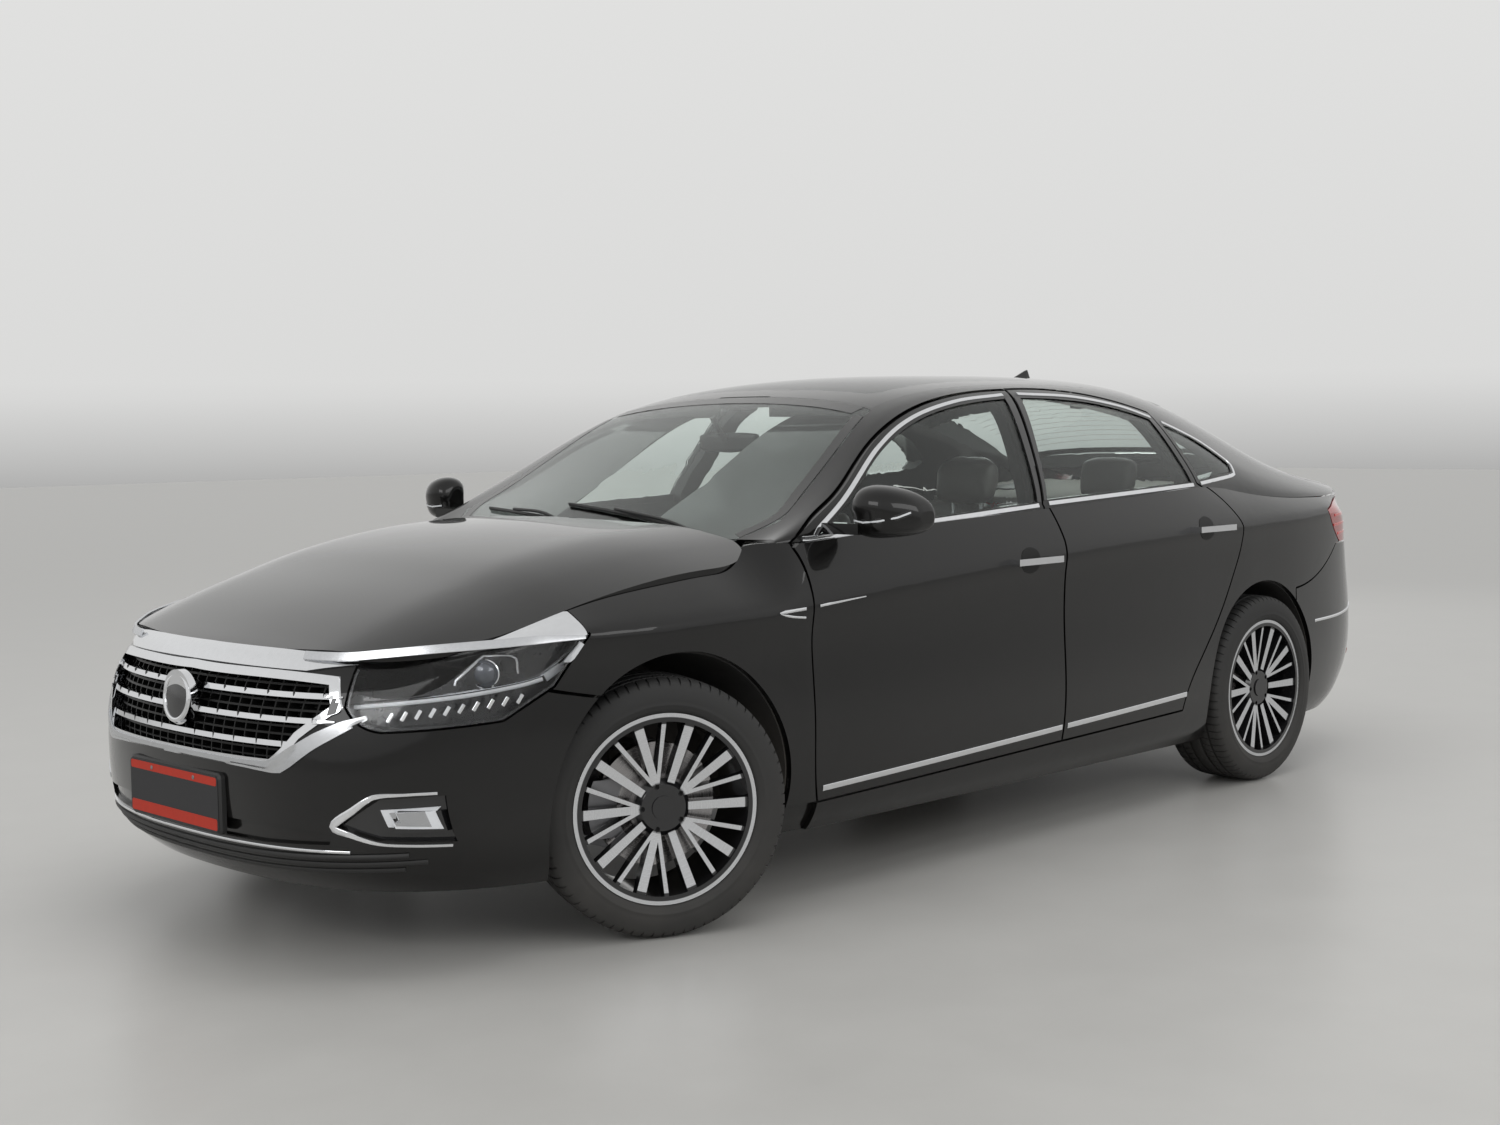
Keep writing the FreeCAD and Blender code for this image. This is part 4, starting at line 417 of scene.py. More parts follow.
# A sheet laid over the CAD: rows of probe points, cast along one direction, given a thickness
def layPatch(name, tree, rows, direction, lift, thick, material, body, slot, start=3.0):
    direction = Vector(direction).normalized()
    found = [[tree.ray_cast(Vector(place) - direction * start, direction)[0] for place in row]
             for row in rows]
    points, faces, places = [], [], {}

    def corner(layer, i, j):
        if (layer, i, j) not in places:
            places[(layer, i, j)] = len(points)
            points.append(found[i][j] - direction * (lift + (thick if layer else 0)))
        return places[(layer, i, j)]

    def full(i, j):
        return (0 <= i < len(rows) - 1 and 0 <= j < len(rows[0]) - 1
                and all(found[a][b] is not None for a in (i, i + 1) for b in (j, j + 1)))

    for i in range(len(rows) - 1):
        for j in range(len(rows[0]) - 1):
            if not full(i, j):
                continue
            faces.append((corner(1, i, j), corner(1, i + 1, j), corner(1, i + 1, j + 1), corner(1, i, j + 1)))
            faces.append((corner(0, i, j), corner(0, i, j + 1), corner(0, i + 1, j + 1), corner(0, i + 1, j)))
            for di, dj, one, two in ((-1, 0, (0, 0), (0, 1)), (1, 0, (1, 1), (1, 0)),
                                     (0, -1, (1, 0), (0, 0)), (0, 1, (0, 1), (1, 1))):
                if not full(i + di, j + dj):
                    a, b = (i + one[0], j + one[1]), (i + two[0], j + two[1])
                    faces.append((corner(1, *a), corner(1, *b), corner(0, *b), corner(0, *a)))
    facesOut(newPiece(name, points, faces, material, body, slot, 35.0))


# Evenly spread rows between a lower and an upper line
def between(lower, upper, rows, columns):
    def spread(line, count):
        line = [Vector(p) for p in line]
        lengths = [0.0]
        for one, two in zip(line, line[1:]):
            lengths.append(lengths[-1] + (two - one).length)
        out = []
        for number in range(count):
            want = lengths[-1] * number / (count - 1)
            for index in range(len(line) - 1):
                if want <= lengths[index + 1] + 1e-9:
                    part = (want - lengths[index]) / max(1e-9, lengths[index + 1] - lengths[index])
                    out.append(line[index].lerp(line[index + 1], part))
                    break
        return out
    low, high = spread(lower, columns), spread(upper, columns)
    return [[a.lerp(b, row / (rows - 1)) for a, b in zip(low, high)] for row in range(rows)]


# Rows over a rectangle seen from above or below, at one height
def planRows(x0, x1, y0, y1, z, rows, columns):
    return between([(x0, y0, z), (x0, y1, z)], [(x1, y0, z), (x1, y1, z)], rows, columns)


# Rows over four corners seen from the front: the lower pair, then the upper pair, as (across, up)
def frontRows(side, lower, upper, rows, columns):
    low, high = ([(0, side * y, z) for y, z in line] for line in (lower, upper))
    return between(low, high, rows, columns)


# A turned piece: profile of (radius, along), round the Z axis of its place
def lathe(name, profile, place, material, body, slot, count=32):
    points = []
    for radius, along in profile:
        for corner in range(count):
            turn = 2 * math.pi * corner / count
            points.append(place @ Vector((radius * math.cos(turn), radius * math.sin(turn), along)))
    return facesOut(newPiece(name, points, shellFaces(len(profile), count), material, body, slot, 30.0))


# A block with rounded edges, optionally shaped by a function of its points
def block(name, size, place, bevel, material, body, slot, cuts=0, form=None, segments=3):
    work = bmesh.new()
    bmesh.ops.create_cube(work, size=1.0)
    bmesh.ops.scale(work, vec=Vector(size), verts=work.verts)
    if cuts:
        bmesh.ops.subdivide_edges(work, edges=work.edges[:], cuts=cuts, use_grid_fill=True)
    sharp = [edge for edge in work.edges if edge.calc_face_angle(0) > 0.5]
    bmesh.ops.bevel(work, geom=sharp, offset=bevel, segments=segments, profile=0.5, affect="EDGES")
    if form:
        for vertex in work.verts:
            vertex.co = form(vertex.co)
    bmesh.ops.transform(work, matrix=place, verts=work.verts)
    mesh = bpy.data.meshes.new(name)
    work.to_mesh(mesh)
    work.free()
    return addPiece(name, mesh, material, body, slot, 35.0)


# A plate with rounded corners, its width along the first and its height along the second axis of its place
def roundPlate(name, place, wide, high, thick, radius, material, body, slot):
    outline = []
    for cx, cy, start in ((1, 1, 0), (-1, 1, 90), (-1, -1, 180), (1, -1, 270)):
        for step in range(6):
            turn = math.radians(start + step * 18)
            outline.append((cx * (wide / 2 - radius) + radius * math.cos(turn),
                            cy * (high / 2 - radius) + radius * math.sin(turn)))
    edge = thick * 0.3
    points = [place @ Vector((u * (1 - 2 * inset / wide), v * (1 - 2 * inset / high), depth))
              for depth, inset in ((0, 0), (thick - edge, 0), (thick, edge)) for u, v in outline]
    return facesOut(newPiece(name, points, shellFaces(3, len(outline)), material, body, slot, 30))


def at(x, y, z, turn=0, tilt=0):
    return (Matrix.Translation((x, y, z)) @ Matrix.Rotation(math.radians(turn), 4, "Z")
            @ Matrix.Rotation(math.radians(tilt), 4, "Y"))


# Finishes
paint = makeSurface("paintBlack", (0.0036, 0.0034, 0.0034), 0.30, speckle=0.05, speckleSize=900, coat=1.0,
                    coatRoughness=0.010, dust=0.018, specular=0.10)
paint.node_tree.nodes["Principled BSDF"].inputs["Coat IOR"].default_value = 1.42
chrome = makeSurface("chromeBright", (0.80, 0.81, 0.83), 0.07, metallic=1.0, speckle=0.04, speckleSize=60)
satinChrome = makeSurface("chromeSatin", (0.62, 0.63, 0.65), 0.24, metallic=1.0, speckle=0.06,
                          speckleSize=120)
blackTrim = makeSurface("plasticBlack", (0.018, 0.018, 0.018), 0.5, speckle=0.1, grain=0.12, grainSize=900)
grilleBlack = makeSurface("grilleBlack", (0.006, 0.006, 0.006), 0.38, speckle=0.08, specular=0.25)
glossBlack = makeSurface("plasticGloss", (0.010, 0.010, 0.011), 0.12, speckle=0.05, coat=0.6)
liner = makeSurface("linerRough", (0.022, 0.021, 0.020), 0.8, speckle=0.16, grain=0.5, grainSize=300,
                    dust=0.6)
rubber = makeSurface("rubberSeal", (0.015, 0.015, 0.015), 0.62, speckle=0.1, grain=0.1, grainSize=700)
underbody = makeSurface("underbody", (0.03, 0.03, 0.03), 0.7, speckle=0.15, grain=0.4, grainSize=160,
                        dust=0.7)
steel = makeSurface("steelDull", (0.26, 0.26, 0.27), 0.42, metallic=0.9, speckle=0.12, grain=0.15,
                    grainSize=240)
castIron = makeSurface("ironCast", (0.16, 0.16, 0.16), 0.6, metallic=0.7, speckle=0.14, grain=0.5,
                       grainSize=200)
glass = makeGlass("glassTinted", (0.88, 0.94, 0.915), 1.0, 1.30)
roofGlass = makeGlass("glassDark", (0.05, 0.055, 0.055), 0.7)
clearLens = makeGlass("lensClear", (0.97, 0.975, 0.98), 1.0, 1.25)
redGlow = makeSurface("lensGlow", (0.62, 0.020, 0.018), 0.15, speckle=0.08, speckleSize=120, coat=1.0)
redLens = makeSurface("lensRed", (0.36, 0.006, 0.008), 0.10, speckle=0.05, coat=1.0, grain=0.15,
                      grainSize=160)
dashSkin = makeSurface("dashGrained", (0.035, 0.032, 0.030), 0.55, speckle=0.08, grain=0.35, grainSize=650)
leather = makeSurface("leatherDark", (0.050, 0.043, 0.038), 0.42, speckle=0.10, grain=0.45, grainSize=420)
mirrorGlass = makeSurface("mirrorGlass", (0.78, 0.80, 0.82), 0.02, metallic=1.0, speckle=0.02)
fritBlack = makeSurface("glassBorder", (0.012, 0.012, 0.012), 0.22, speckle=0.06, coat=0.4)
heaterLine = makeSurface("heaterLine", (0.20, 0.10, 0.05), 0.45, metallic=0.6, speckle=0.08)
reflector = makeSurface("lampReflector", (0.55, 0.56, 0.58), 0.16, metallic=1.0, speckle=0.05)
lampDark = makeSurface("lampDark", (0.020, 0.021, 0.023), 0.25, speckle=0.10, coat=0.5)
finishes = {
    "paint": paint, "black_trim": blackTrim, "liner": liner, "lamp_body": reflector, "lamp_glass": clearLens,
    "glass": glass, "dark_glass": roofGlass, "red_lens": redLens, "chrome": chrome, "alloy": satinChrome,
    "tyre": rubber, "steel": steel, "engine": castIron, "underbody": underbody, "interior": dashSkin,
    "seat_leather": leather,
}


def dressNode(name, finish):
    slots = nodes[name].data.materials
    if not len(slots):
        slots.append(finish)
    for slot in range(len(slots)):
        slots[slot] = finish


for entry in frame["record"]["subparts"]:
    dressNode(entry["node"], finishes[entry["material_slot"]])
for node, finish in (("grille", grilleBlack), ("fog_lamps", glossBlack), ("headlamps", lampDark)):
    dressNode(node, finish)
print("stage: finishes")
placeCamera()
setStage()


# Wheels: where each one stands, its tyre, its nuts and its two-tone rim
wheels = {
    "front": (1.544, 0.792), "rear": (-1.327, 0.784), "height": 0.334, "kingpin": 0.760, "steer": -23.6,
    "pitches": 72, "sipe": 0.0042, "cuts": ((0.0, 0), (0.02, 1), (0.16, 1), (0.18, 0), (0.60, 0)),
    "slant": 0.35, "shoulder": 0.06, "sideWall": 0.30,
    "nuts": 5, "nutCircle": 0.057, "nutProbe": 0.072, "nutCorners": 12, "nutFlat": 0.93,
    # Half of the tyre's section from its middle out to the bead: across, radius, depth of the cuts there
    "tyreHalf": [
        (0.0, 0.3340, 0), (0.0180, 0.3340, 0), (0.0190, 0.3334, 0), (0.0202, 0.3268, 0), (0.0278, 0.3268, 0),
        (0.0290, 0.3334, 0), (0.0300, 0.3340, 0.8), (0.0550, 0.3337, 0.8), (0.0560, 0.3331, 0),
        (0.0572, 0.3264, 0), (0.0638, 0.3264, 0), (0.0650, 0.3328, 0), (0.0660, 0.3334, 1),
        (0.0800, 0.3326, 1), (0.0930, 0.3302, 1), (0.1015, 0.3262, 1), (0.1068, 0.3208, 0.7),
        (0.1098, 0.3150, 0), (0.1128, 0.3060, 0), (0.1150, 0.2975, 0), (0.1166, 0.2880, 0),
        (0.1172, 0.2790, 0), (0.1168, 0.2715, 0), (0.1173, 0.2700, 0), (0.1173, 0.2660, 0),
        (0.1164, 0.2645, 0), (0.1150, 0.2590, 0), (0.1128, 0.2535, 0),
        (0.1085, 0.2490, 0), (0.1030, 0.2475, 0), (0.0980, 0.2380, 0), (0.0, 0.2360, 0)],
    # Nut profile: radius, place out from the hub's face
    "nutProfile": [(0.0062, -0.012), (0.009975, -0.010), (0.0105, 0), (0.009765, 0.0035), (0.0068, 0.005),
                   (0.0035, 0.0045)],
}
# Rim finish: how far a face looks outward, and the edges of its bright and dark parts
rim = {
    "facing": 0.90, "faceDepth": 0.062, "hub": 0.105, "spokeEnd": 0.2180, "lip": 0.2350, "discDepth": 0.058,
    "discRadius": 0.178, "silver": (0.66, 0.67, 0.69, 1), "disc": (0.34, 0.33, 0.33, 1),
    "dark": (0.012, 0.012, 0.013, 1), "turning": 900, "turningDepth": 0.22, "coat": 0.35,
    "coatRoughness": 0.04,
}


def wheelPlace(end, side):
    x, y = wheels[end]
    place = Matrix.Translation((x, side * y, wheels["height"]))
    if side < 0:
        place = place @ Matrix.Rotation(math.pi, 4, "Z")
    if end == "front":
        pin = Vector((x, side * wheels["kingpin"], 0))
        turn = Matrix.Rotation(math.radians(wheels["steer"]), 4, "Z")
        place = Matrix.Translation(pin) @ turn @ Matrix.Translation(-pin) @ place
    return place


def makeTyre(name, place):
    half = wheels["tyreHalf"]
    section = [(-y, r, cut) for y, r, cut in reversed(half[1:-1])] + half
    columns = [((pitch + share) / wheels["pitches"] * 2 * math.pi, deep)
               for pitch in range(wheels["pitches"]) for share, deep in wheels["cuts"]]
    points = []
    for turn, deep in columns:
        for y, r, cut in section:
            slant = wheels["slant"] * y * (1 if y > 0 else -1) * (1 if abs(y) > wheels["shoulder"] else 2)
            reach = r - (wheels["sipe"] * cut if deep else 0)
            angle = turn + slant * (r > wheels["sideWall"])
            points.append(place @ Vector((reach * math.sin(angle), y, reach * math.cos(angle))))
    faces = shellFaces(len(columns), len(section), closed=True)
    piece = newPiece("tyreTread_" + name, points, faces, rubberTyre, wheelBody(name), "tyre", 32)
    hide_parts("tyre_" + name)


def wheelBody(name):
    return name.replace("_", "_wheel_")


def makeNuts(name, place, outward):
    tree = treeOf("rim_" + name)
    corners, circle, probe = wheels["nutCorners"], wheels["nutCircle"], wheels["nutProbe"]
    points, faces = [], []
    for number in range(wheels["nuts"]):
        turn = 2 * math.pi * (number + 0.5) / wheels["nuts"]
        hit = tree.ray_cast(place @ Vector((probe * math.sin(turn), 0.2, probe * math.cos(turn))),
                            -outward)[0]
        depth = (place.inverted() @ hit).y
        centre = Vector((circle * math.sin(turn), depth, circle * math.cos(turn)))
        faces += shellFaces(len(wheels["nutProfile"]), corners, start=len(points))
        for radius, out in wheels["nutProfile"]:
            for corner in range(corners):
                reach = radius * (1.0 if corner % 2 else wheels["nutFlat"])
                spin = 2 * math.pi * corner / corners
                points.append(place @ (centre + Vector((reach * math.cos(spin), out,
                                                        reach * math.sin(spin)))))
    newPiece("wheelNuts_" + name, points, faces, nutSteel, wheelBody(name), "steel", 25)


# Machined outward faces on a gloss black rim, with the bare brake disc further in
def makeRimFinish(name, centre, outward):
    material, tree, shader, coords = newMaterial("rimTwoTone_" + name)
    link = tree.links.new
    facing = addNode(tree, "VectorMath", {0: coords["Normal"], 1: outward},
                     operation="DOT_PRODUCT").outputs["Value"]
    offset = addNode(tree, "VectorMath", {0: coords["Object"], 1: centre}, operation="SUBTRACT").outputs[0]
    depth = addNode(tree, "VectorMath", {0: offset, 1: outward}, operation="DOT_PRODUCT").outputs["Value"]
    far = addNode(tree, "VectorMath", {0: offset}, operation="LENGTH").outputs["Value"]
    squares = maths(tree, "SUBTRACT", maths(tree, "POWER", far, 2.0), maths(tree, "POWER", depth, 2.0))
    radial = maths(tree, "SQRT", squares)
    spokes = maths(tree, "MULTIPLY", maths(tree, "SUBTRACT", rim["spokeEnd"], radial), 600.0, clamp=True)
    ringed = maths(tree, "MAXIMUM", spokes, pastEdge(tree, radial, rim["lip"], 600.0))
    silver = pastEdge(tree, facing, rim["facing"], 40.0)
    for mask in (pastEdge(tree, depth, rim["faceDepth"], 400.0), pastEdge(tree, far, rim["hub"], 300.0),
                 ringed):
        silver = maths(tree, "MULTIPLY", silver, mask)
    inner = maths(tree, "MULTIPLY", maths(tree, "SUBTRACT", rim["discDepth"], depth), 400.0, clamp=True)
    within = maths(tree, "MULTIPLY", maths(tree, "SUBTRACT", rim["discRadius"], far), 400.0, clamp=True)
    disc = maths(tree, "MULTIPLY", inner, within)
    tone = useGroup(tree, speckleGroup, Vector=coords["Object"], Size=240.0, Amount=0.05, Roughness=0.14,
                    Base=rim["dark"])
    turned = addNode(tree, "CombineXYZ", {0: far})
    rings = addNode(tree, "TexNoise", {"Vector": turned.outputs[0], "Scale": rim["turning"]}).outputs[0]
    shade = blend(tree, disc, blend(tree, silver, tone["Color"], rim["silver"]), rim["disc"])
    link(shade, shader.inputs["Base Color"])
    bright = maths(tree, "MAXIMUM", silver, disc)
    link(bright, shader.inputs["Metallic"])
    fine = maths(tree, "MULTIPLY", bright, maths(tree, "MULTIPLY", rings, rim["turningDepth"]))
    link(maths(tree, "ADD", fine, tone["Roughness"]), shader.inputs["Roughness"])
    shader.inputs["Coat Weight"].default_value = rim["coat"]
    shader.inputs["Coat Roughness"].default_value = rim["coatRoughness"]
    return material


rubberTyre = makeSurface("rubberTyre", (0.019, 0.019, 0.019), 0.68, speckle=0.10, speckleSize=60, grain=0.12,
                         grainSize=700, dust=0.10)
nutSteel = makeSurface("nutSteel", (0.30, 0.30, 0.31), 0.30, metallic=1.0, speckle=0.08, speckleSize=300)
for end in ("front", "rear"):
    for side, word in sides.items():
        wheel = "%s_%s" % (end, word)
        place = wheelPlace(end, side)
        outward = (place.to_3x3() @ Vector((0, 1, 0))).normalized()
        makeTyre(wheel, place)
        makeNuts(wheel, place, outward)
        dressNode("rim_" + wheel, makeRimFinish(wheel, place.translation, outward))
print("stage: wheels")


# Rows over four corners seen from the side: the lower pair, then the upper pair, as (along, up)
def sideRows(lower, upper, rows, columns):
    low, high = ([(x, 0, z) for x, z in line] for line in (lower, upper))
    return between(low, high, rows, columns)


# Bright trim along the sides, laid on the doors and the body: what carries it, width, line as (along, up)
sideTrim = {
    "high": 0.0035, "sink": 0.003, "step": 0.02,
    "lines": {
        "surroundFront": ("front", 0.013, [
            (0.985, 0.996), (0.964, 1.016), (0.846, 1.083), (0.585, 1.234), (0.376, 1.318), (0.131, 1.368),
            (-0.125, 1.389)]),
        "surroundRear": ("rear", 0.013, [(-0.206, 1.392), (-0.503, 1.383), (-0.756, 1.352), (-0.925, 1.312)]),
        "surroundQuarter": ("body", 0.013, [
            (-0.982, 1.294), (-1.080, 1.262), (-1.189, 1.219), (-1.296, 1.150), (-1.303, 1.136),
            (-1.286, 1.104), (-1.260, 1.099), (-1.012, 1.079)]),
        "beltFront": ("front", 0.014, [(1.030, 0.990), (0.960, 0.992), (0.500, 1.015), (-0.028, 1.041)]),
        "beltRear": ("rear", 0.014, [(-0.082, 1.045), (-0.500, 1.060), (-0.960, 1.076)]),
        "sillFront": ("front", 0.017, [(1.022, 0.306), (0.500, 0.324), (-0.070, 0.345)]),
        "sillRear": ("rear", 0.017, [(-0.098, 0.346), (-0.450, 0.358), (-0.790, 0.371)])},
    # Gloss black facings on the middle pillar
    "pillars": {
        "pillarFront": ("front", [(-0.026, 1.052), (-0.050, 1.052)], [(-0.123, 1.380), (-0.158, 1.382)]),
        "pillarRear": ("rear", [(-0.062, 1.056), (-0.078, 1.056)], [(-0.176, 1.382), (-0.205, 1.382)])},
}
for side, word in sides.items():
    holders = {
        "front": (treeOf("door_front_" + word, "glass_front_" + word), "front_door_" + word),
        "rear": (treeOf("door_rear_" + word, "glass_rear_" + word), "rear_door_" + word),
        "body": (treeOf("cabin_frame", "quarter_glasses", "body_side_" + word), "body")}
    for name, (holder, width, line) in sideTrim["lines"].items():
        tree, body = holders[holder]
        strip("%s_%s" % (name, word), sideHits(tree, sideLine(line, sideTrim["step"]), side),
              (width, sideTrim["high"], sideTrim["sink"]), chrome, body, "chrome")
    for name, (holder, lower, upper) in sideTrim["pillars"].items():
        tree, body = holders[holder]
        layPatch("%s_%s" % (name, word), tree, sideRows(lower, upper, 16, 5), (0, -side, 0), 0.0004, 0.0016,
                 glossBlack, body, "black_trim")

# Painted shade: dark patches laid on the doors behind the middle of each handle, standing in for the shade in
# the handle hollows, which are body colour
paintedHandleShade = {"front": (0.104, 0.880), "rear": (-0.908, 0.931), "wide": 0.046, "high": 0.040, "rows": 12,
             "columns": 14}


def layPaintedHandleShade(end, side, word):
    x, z = paintedHandleShade[end]
    rows = []
    for row in range(paintedHandleShade["rows"] + 1):
        up = 2 * row / paintedHandleShade["rows"] - 1
        reach = paintedHandleShade["wide"] * max(1 - abs(up) ** 3, 0.04) ** 0.5
        rows.append([(x + reach * (2 * column / paintedHandleShade["columns"] - 1), 0, z + up * paintedHandleShade["high"])
                     for column in range(paintedHandleShade["columns"] + 1)])
    # Painted shade: a thin near-black patch over the door's paint where the handle hollow falls in shade
    layPatch("handleCup_%s_%s" % (end, word), treeOf("door_%s_%s" % (end, word)), rows, (0, -side, 0), 0.0002,
             0.0008, grilleBlack, "%s_door_%s" % (end, word), "black_trim")


for end in ("front", "rear"):
    for side, word in sides.items():
        layPaintedHandleShade(end, side, word)
print("stage: side trim")


# Front: number plate, badge, grille marks, lamps, fog lamps and the lower lip.
# Lamp lines are (across the diagonal that the lamps face, up), the others (across, up)
front = {
    "barProbeY": 0.300, "barFirstZ": 0.527, "barStep": 0.002, "barProbes": 95, "barFront": 2.2,
    "markGap": 0.083, "marks": 6, "badgeZ": 0.634,
    "badgeDisc": [(0.0528, 0.0004), (0.05148, 0.0026), (0.0396, 0.0034), (0.0198, 0.0048), (0.002, 0.0052)],
    "badgeRing": [(0.05148, 0.0004), (0.0528, 0.0050), (0.05676, 0.0066), (0.06336, 0.0050), (0.066, 0.0004)],
    # Name: step, width, shift of the bright edge, line
    "runLamps": {
        "runLamp": (0.02, 0.010, (0, 0.010), [
            (-1.236, 0.640), (-1.100, 0.652), (-0.960, 0.666), (-0.850, 0.680), (-0.796, 0.692)]),
        "runLampUp": (0.015, 0.020, (-0.016, 0.004), [
            (-0.790, 0.694), (-0.745, 0.726), (-0.712, 0.758), (-0.698, 0.778)])},
    "dashes": 10, "dashFrom": (-1.140, 0.623), "dashTo": (-0.842, 0.654),
    "projectors": ((-1.112, 0.690), (-0.925, 0.716)),
    "projector": [(0.024, -0.012), (0.026, 0.004), (0.024, 0.010), (0.016, 0.015), (0.006, 0.0175),
                  (0.001, 0.0178)],
    "projectorRing": [(0.026, -0.012), (0.034, -0.006), (0.0355, 0.006), (0.033, 0.008), (0.029, 0.003),
                      (0.026, 0.001)],
    "projectorFrame": [(-0.070, -0.026), (-0.052, 0.030), (0.060, 0.040), (0.074, -0.004)],
    "fogTrim": [(0.735, 0.443), (0.690, 0.442), (0.640, 0.437), (0.598, 0.404), (0.553, 0.364),
                (0.590, 0.344), (0.640, 0.324), (0.690, 0.318), (0.741, 0.314)],
    "fogLens": ([(0.650, 0.362), (0.734, 0.355)], [(0.640, 0.404), (0.726, 0.408)]),
    "fogGlow": ([(0.664, 0.368), (0.722, 0.362)], [(0.655, 0.397), (0.716, 0.400)]),
    "intakeLine": [(-0.580, 0.301), (-0.300, 0.299), (0, 0.299), (0.300, 0.299), (0.580, 0.301)],
    # Ribs of the lip: height over ground, half width, how proud
    "lip": ((0.281, 0.68, 0.007), (0.262, 0.70, 0.005), (0.243, 0.66, 0.004)),
}
plate = {
    "wide": 0.440, "high": 0.140, "frontZ": 0.389, "rearZ": 0.560, "gap": 0.003, "margin": 0.014,
    "bands": {"Upper": (0.0555, 0.021), "Lower": (-0.0515, 0.029)}, "screw": (0.105, 0.055, 0.0045),
    "screwProfile": [(0.0055, -0.001), (0.0055, 0.0010), (0.0040, 0.0020), (0.0010, 0.0022)],
}
plateDark = makeSurface("plateDark", (0.030, 0.030, 0.032), 0.50, speckle=0.08, speckleSize=90, specular=0.25)
plateRed = makeSurface("plateRed", (0.46, 0.035, 0.018), 0.55, speckle=0.10, speckleSize=60, specular=0.25)
lampWhite = makeSurface("lampGuide", (0.75, 0.77, 0.80), 0.20, speckle=0.05, coat=0.6)
projectorGlass = makeSurface("projectorGlass", (0.10, 0.11, 0.13), 0.04, metallic=0.35, speckle=0.04,
                             coat=1.0)


# A bare number plate in its holder; the one in front has two red bands
def plateSet(end, tree, facing):
    wide, high, z = plate["wide"], plate["high"], plate[end + "Z"]
    reach = [cast(tree, (facing * 3.5, y, z + rise), (-facing, 0, 0))[0]
             for y in (0, wide / 4) for rise in (-high / 2, 0, high / 2)]
    plateX = max(facing * hit.x for hit in reach if hit) + plate["gap"]
    turn = Matrix(((0, 0, facing, facing * plateX), (facing, 0, 0, 0), (0, 1, 0, z), (0, 0, 0, 1)))
    roundPlate(end + "PlateHolder", turn @ at(0, 0, -0.016), wide + plate["margin"], high + plate["margin"],
               0.018, 0.015, blackTrim, "body", "black_trim")
    roundPlate(end + "Plate", turn @ at(0, 0, 0.002), wide, high, 0.002, 0.011, plateDark, "body",
               "black_trim")
    if end == "front":
        for name, (rise, tall) in plate["bands"].items():
            roundPlate("frontPlateBand" + name, turn @ at(0, rise, 0.004), wide - 0.010, tall, 0.0007, 0.006,
                       plateRed, "body", "red_lens")
    across, up, out = plate["screw"]
    for side, word in sides.items():
        lathe("%sPlateScrew_%s" % (end, word), plate["screwProfile"], turn @ at(side * across, up, out),
              steel, "body", "steel", 16)


bumperTree = treeOf("front_bumper")
barTree = treeOf("grille_chrome")
plateSet("front", bumperTree, 1)

# Badge: a plain dished disc in a bright ring, with nothing on it
place = cast(barTree, (3.5, 0, front["badgeZ"]), (-1, 0, 0))[0]
spot = Matrix.Translation(place) @ Vector((1, 0, 0.12)).to_track_quat("Z", "Y").to_matrix().to_4x4()
for name, finish, slot in (("badgeDisc", glossBlack, "black_trim"), ("badgeRing", chrome, "chrome")):
    lathe(name, front[name], spot, finish, "body", slot, 48)


# The bright bar at a place of the grille, if there is one
def barAt(y, z):
    hit = cast(barTree, (3.5, y, z), (-1, 0, 0))[0]
    return hit if hit is not None and hit.x > front["barFront"] else None


def findBars():
    bars, run = [], []
    for number in range(front["barProbes"]):
        z = front["barFirstZ"] + number * front["barStep"]
        if barAt(front["barProbeY"], z):
            run.append(z)
        elif run:
            bars.append((sum(run) / len(run), run[-1] - run[0] + 2 * front["barStep"]))
            run = []
    return bars


# Dark gaps that part the bright grille bars into short runs
bars = findBars()
for row, (z, tall) in enumerate(bars):
    for number in range(1, front["marks"] + 1):
        for side, word in sides.items():
            y = side * number * front["markGap"]
            hit = barAt(y, z)
            if hit:
                block("grilleGap%d_%d_%s" % (row, number, word), (0.012, 0.0040, tall),
                      at(hit.x - 0.0052, y, z), 0.0008, glossBlack, "body", "black_trim", segments=1)

# Lamps, placed along the diagonal that they face
look = {1: Vector((-1, -1, 0)).normalized(), -1: Vector((-1, 1, 0)).normalized()}
bowl = treeOf("headlamps")
lensTree = treeOf("headlamp_lenses")
fogTree = treeOf("fog_lamps")


def lampRow(tree, line, side):
    places = [Vector((-t / math.sqrt(2), side * t / math.sqrt(2), z)) - look[side] * 4.0 for t, z in line]
    return hitsAlong(tree, places, look[side])


def fogWidth(part):
    return 0.55 + 0.9 * max(0.0, 1 - abs(part - 0.45) * 3.0)


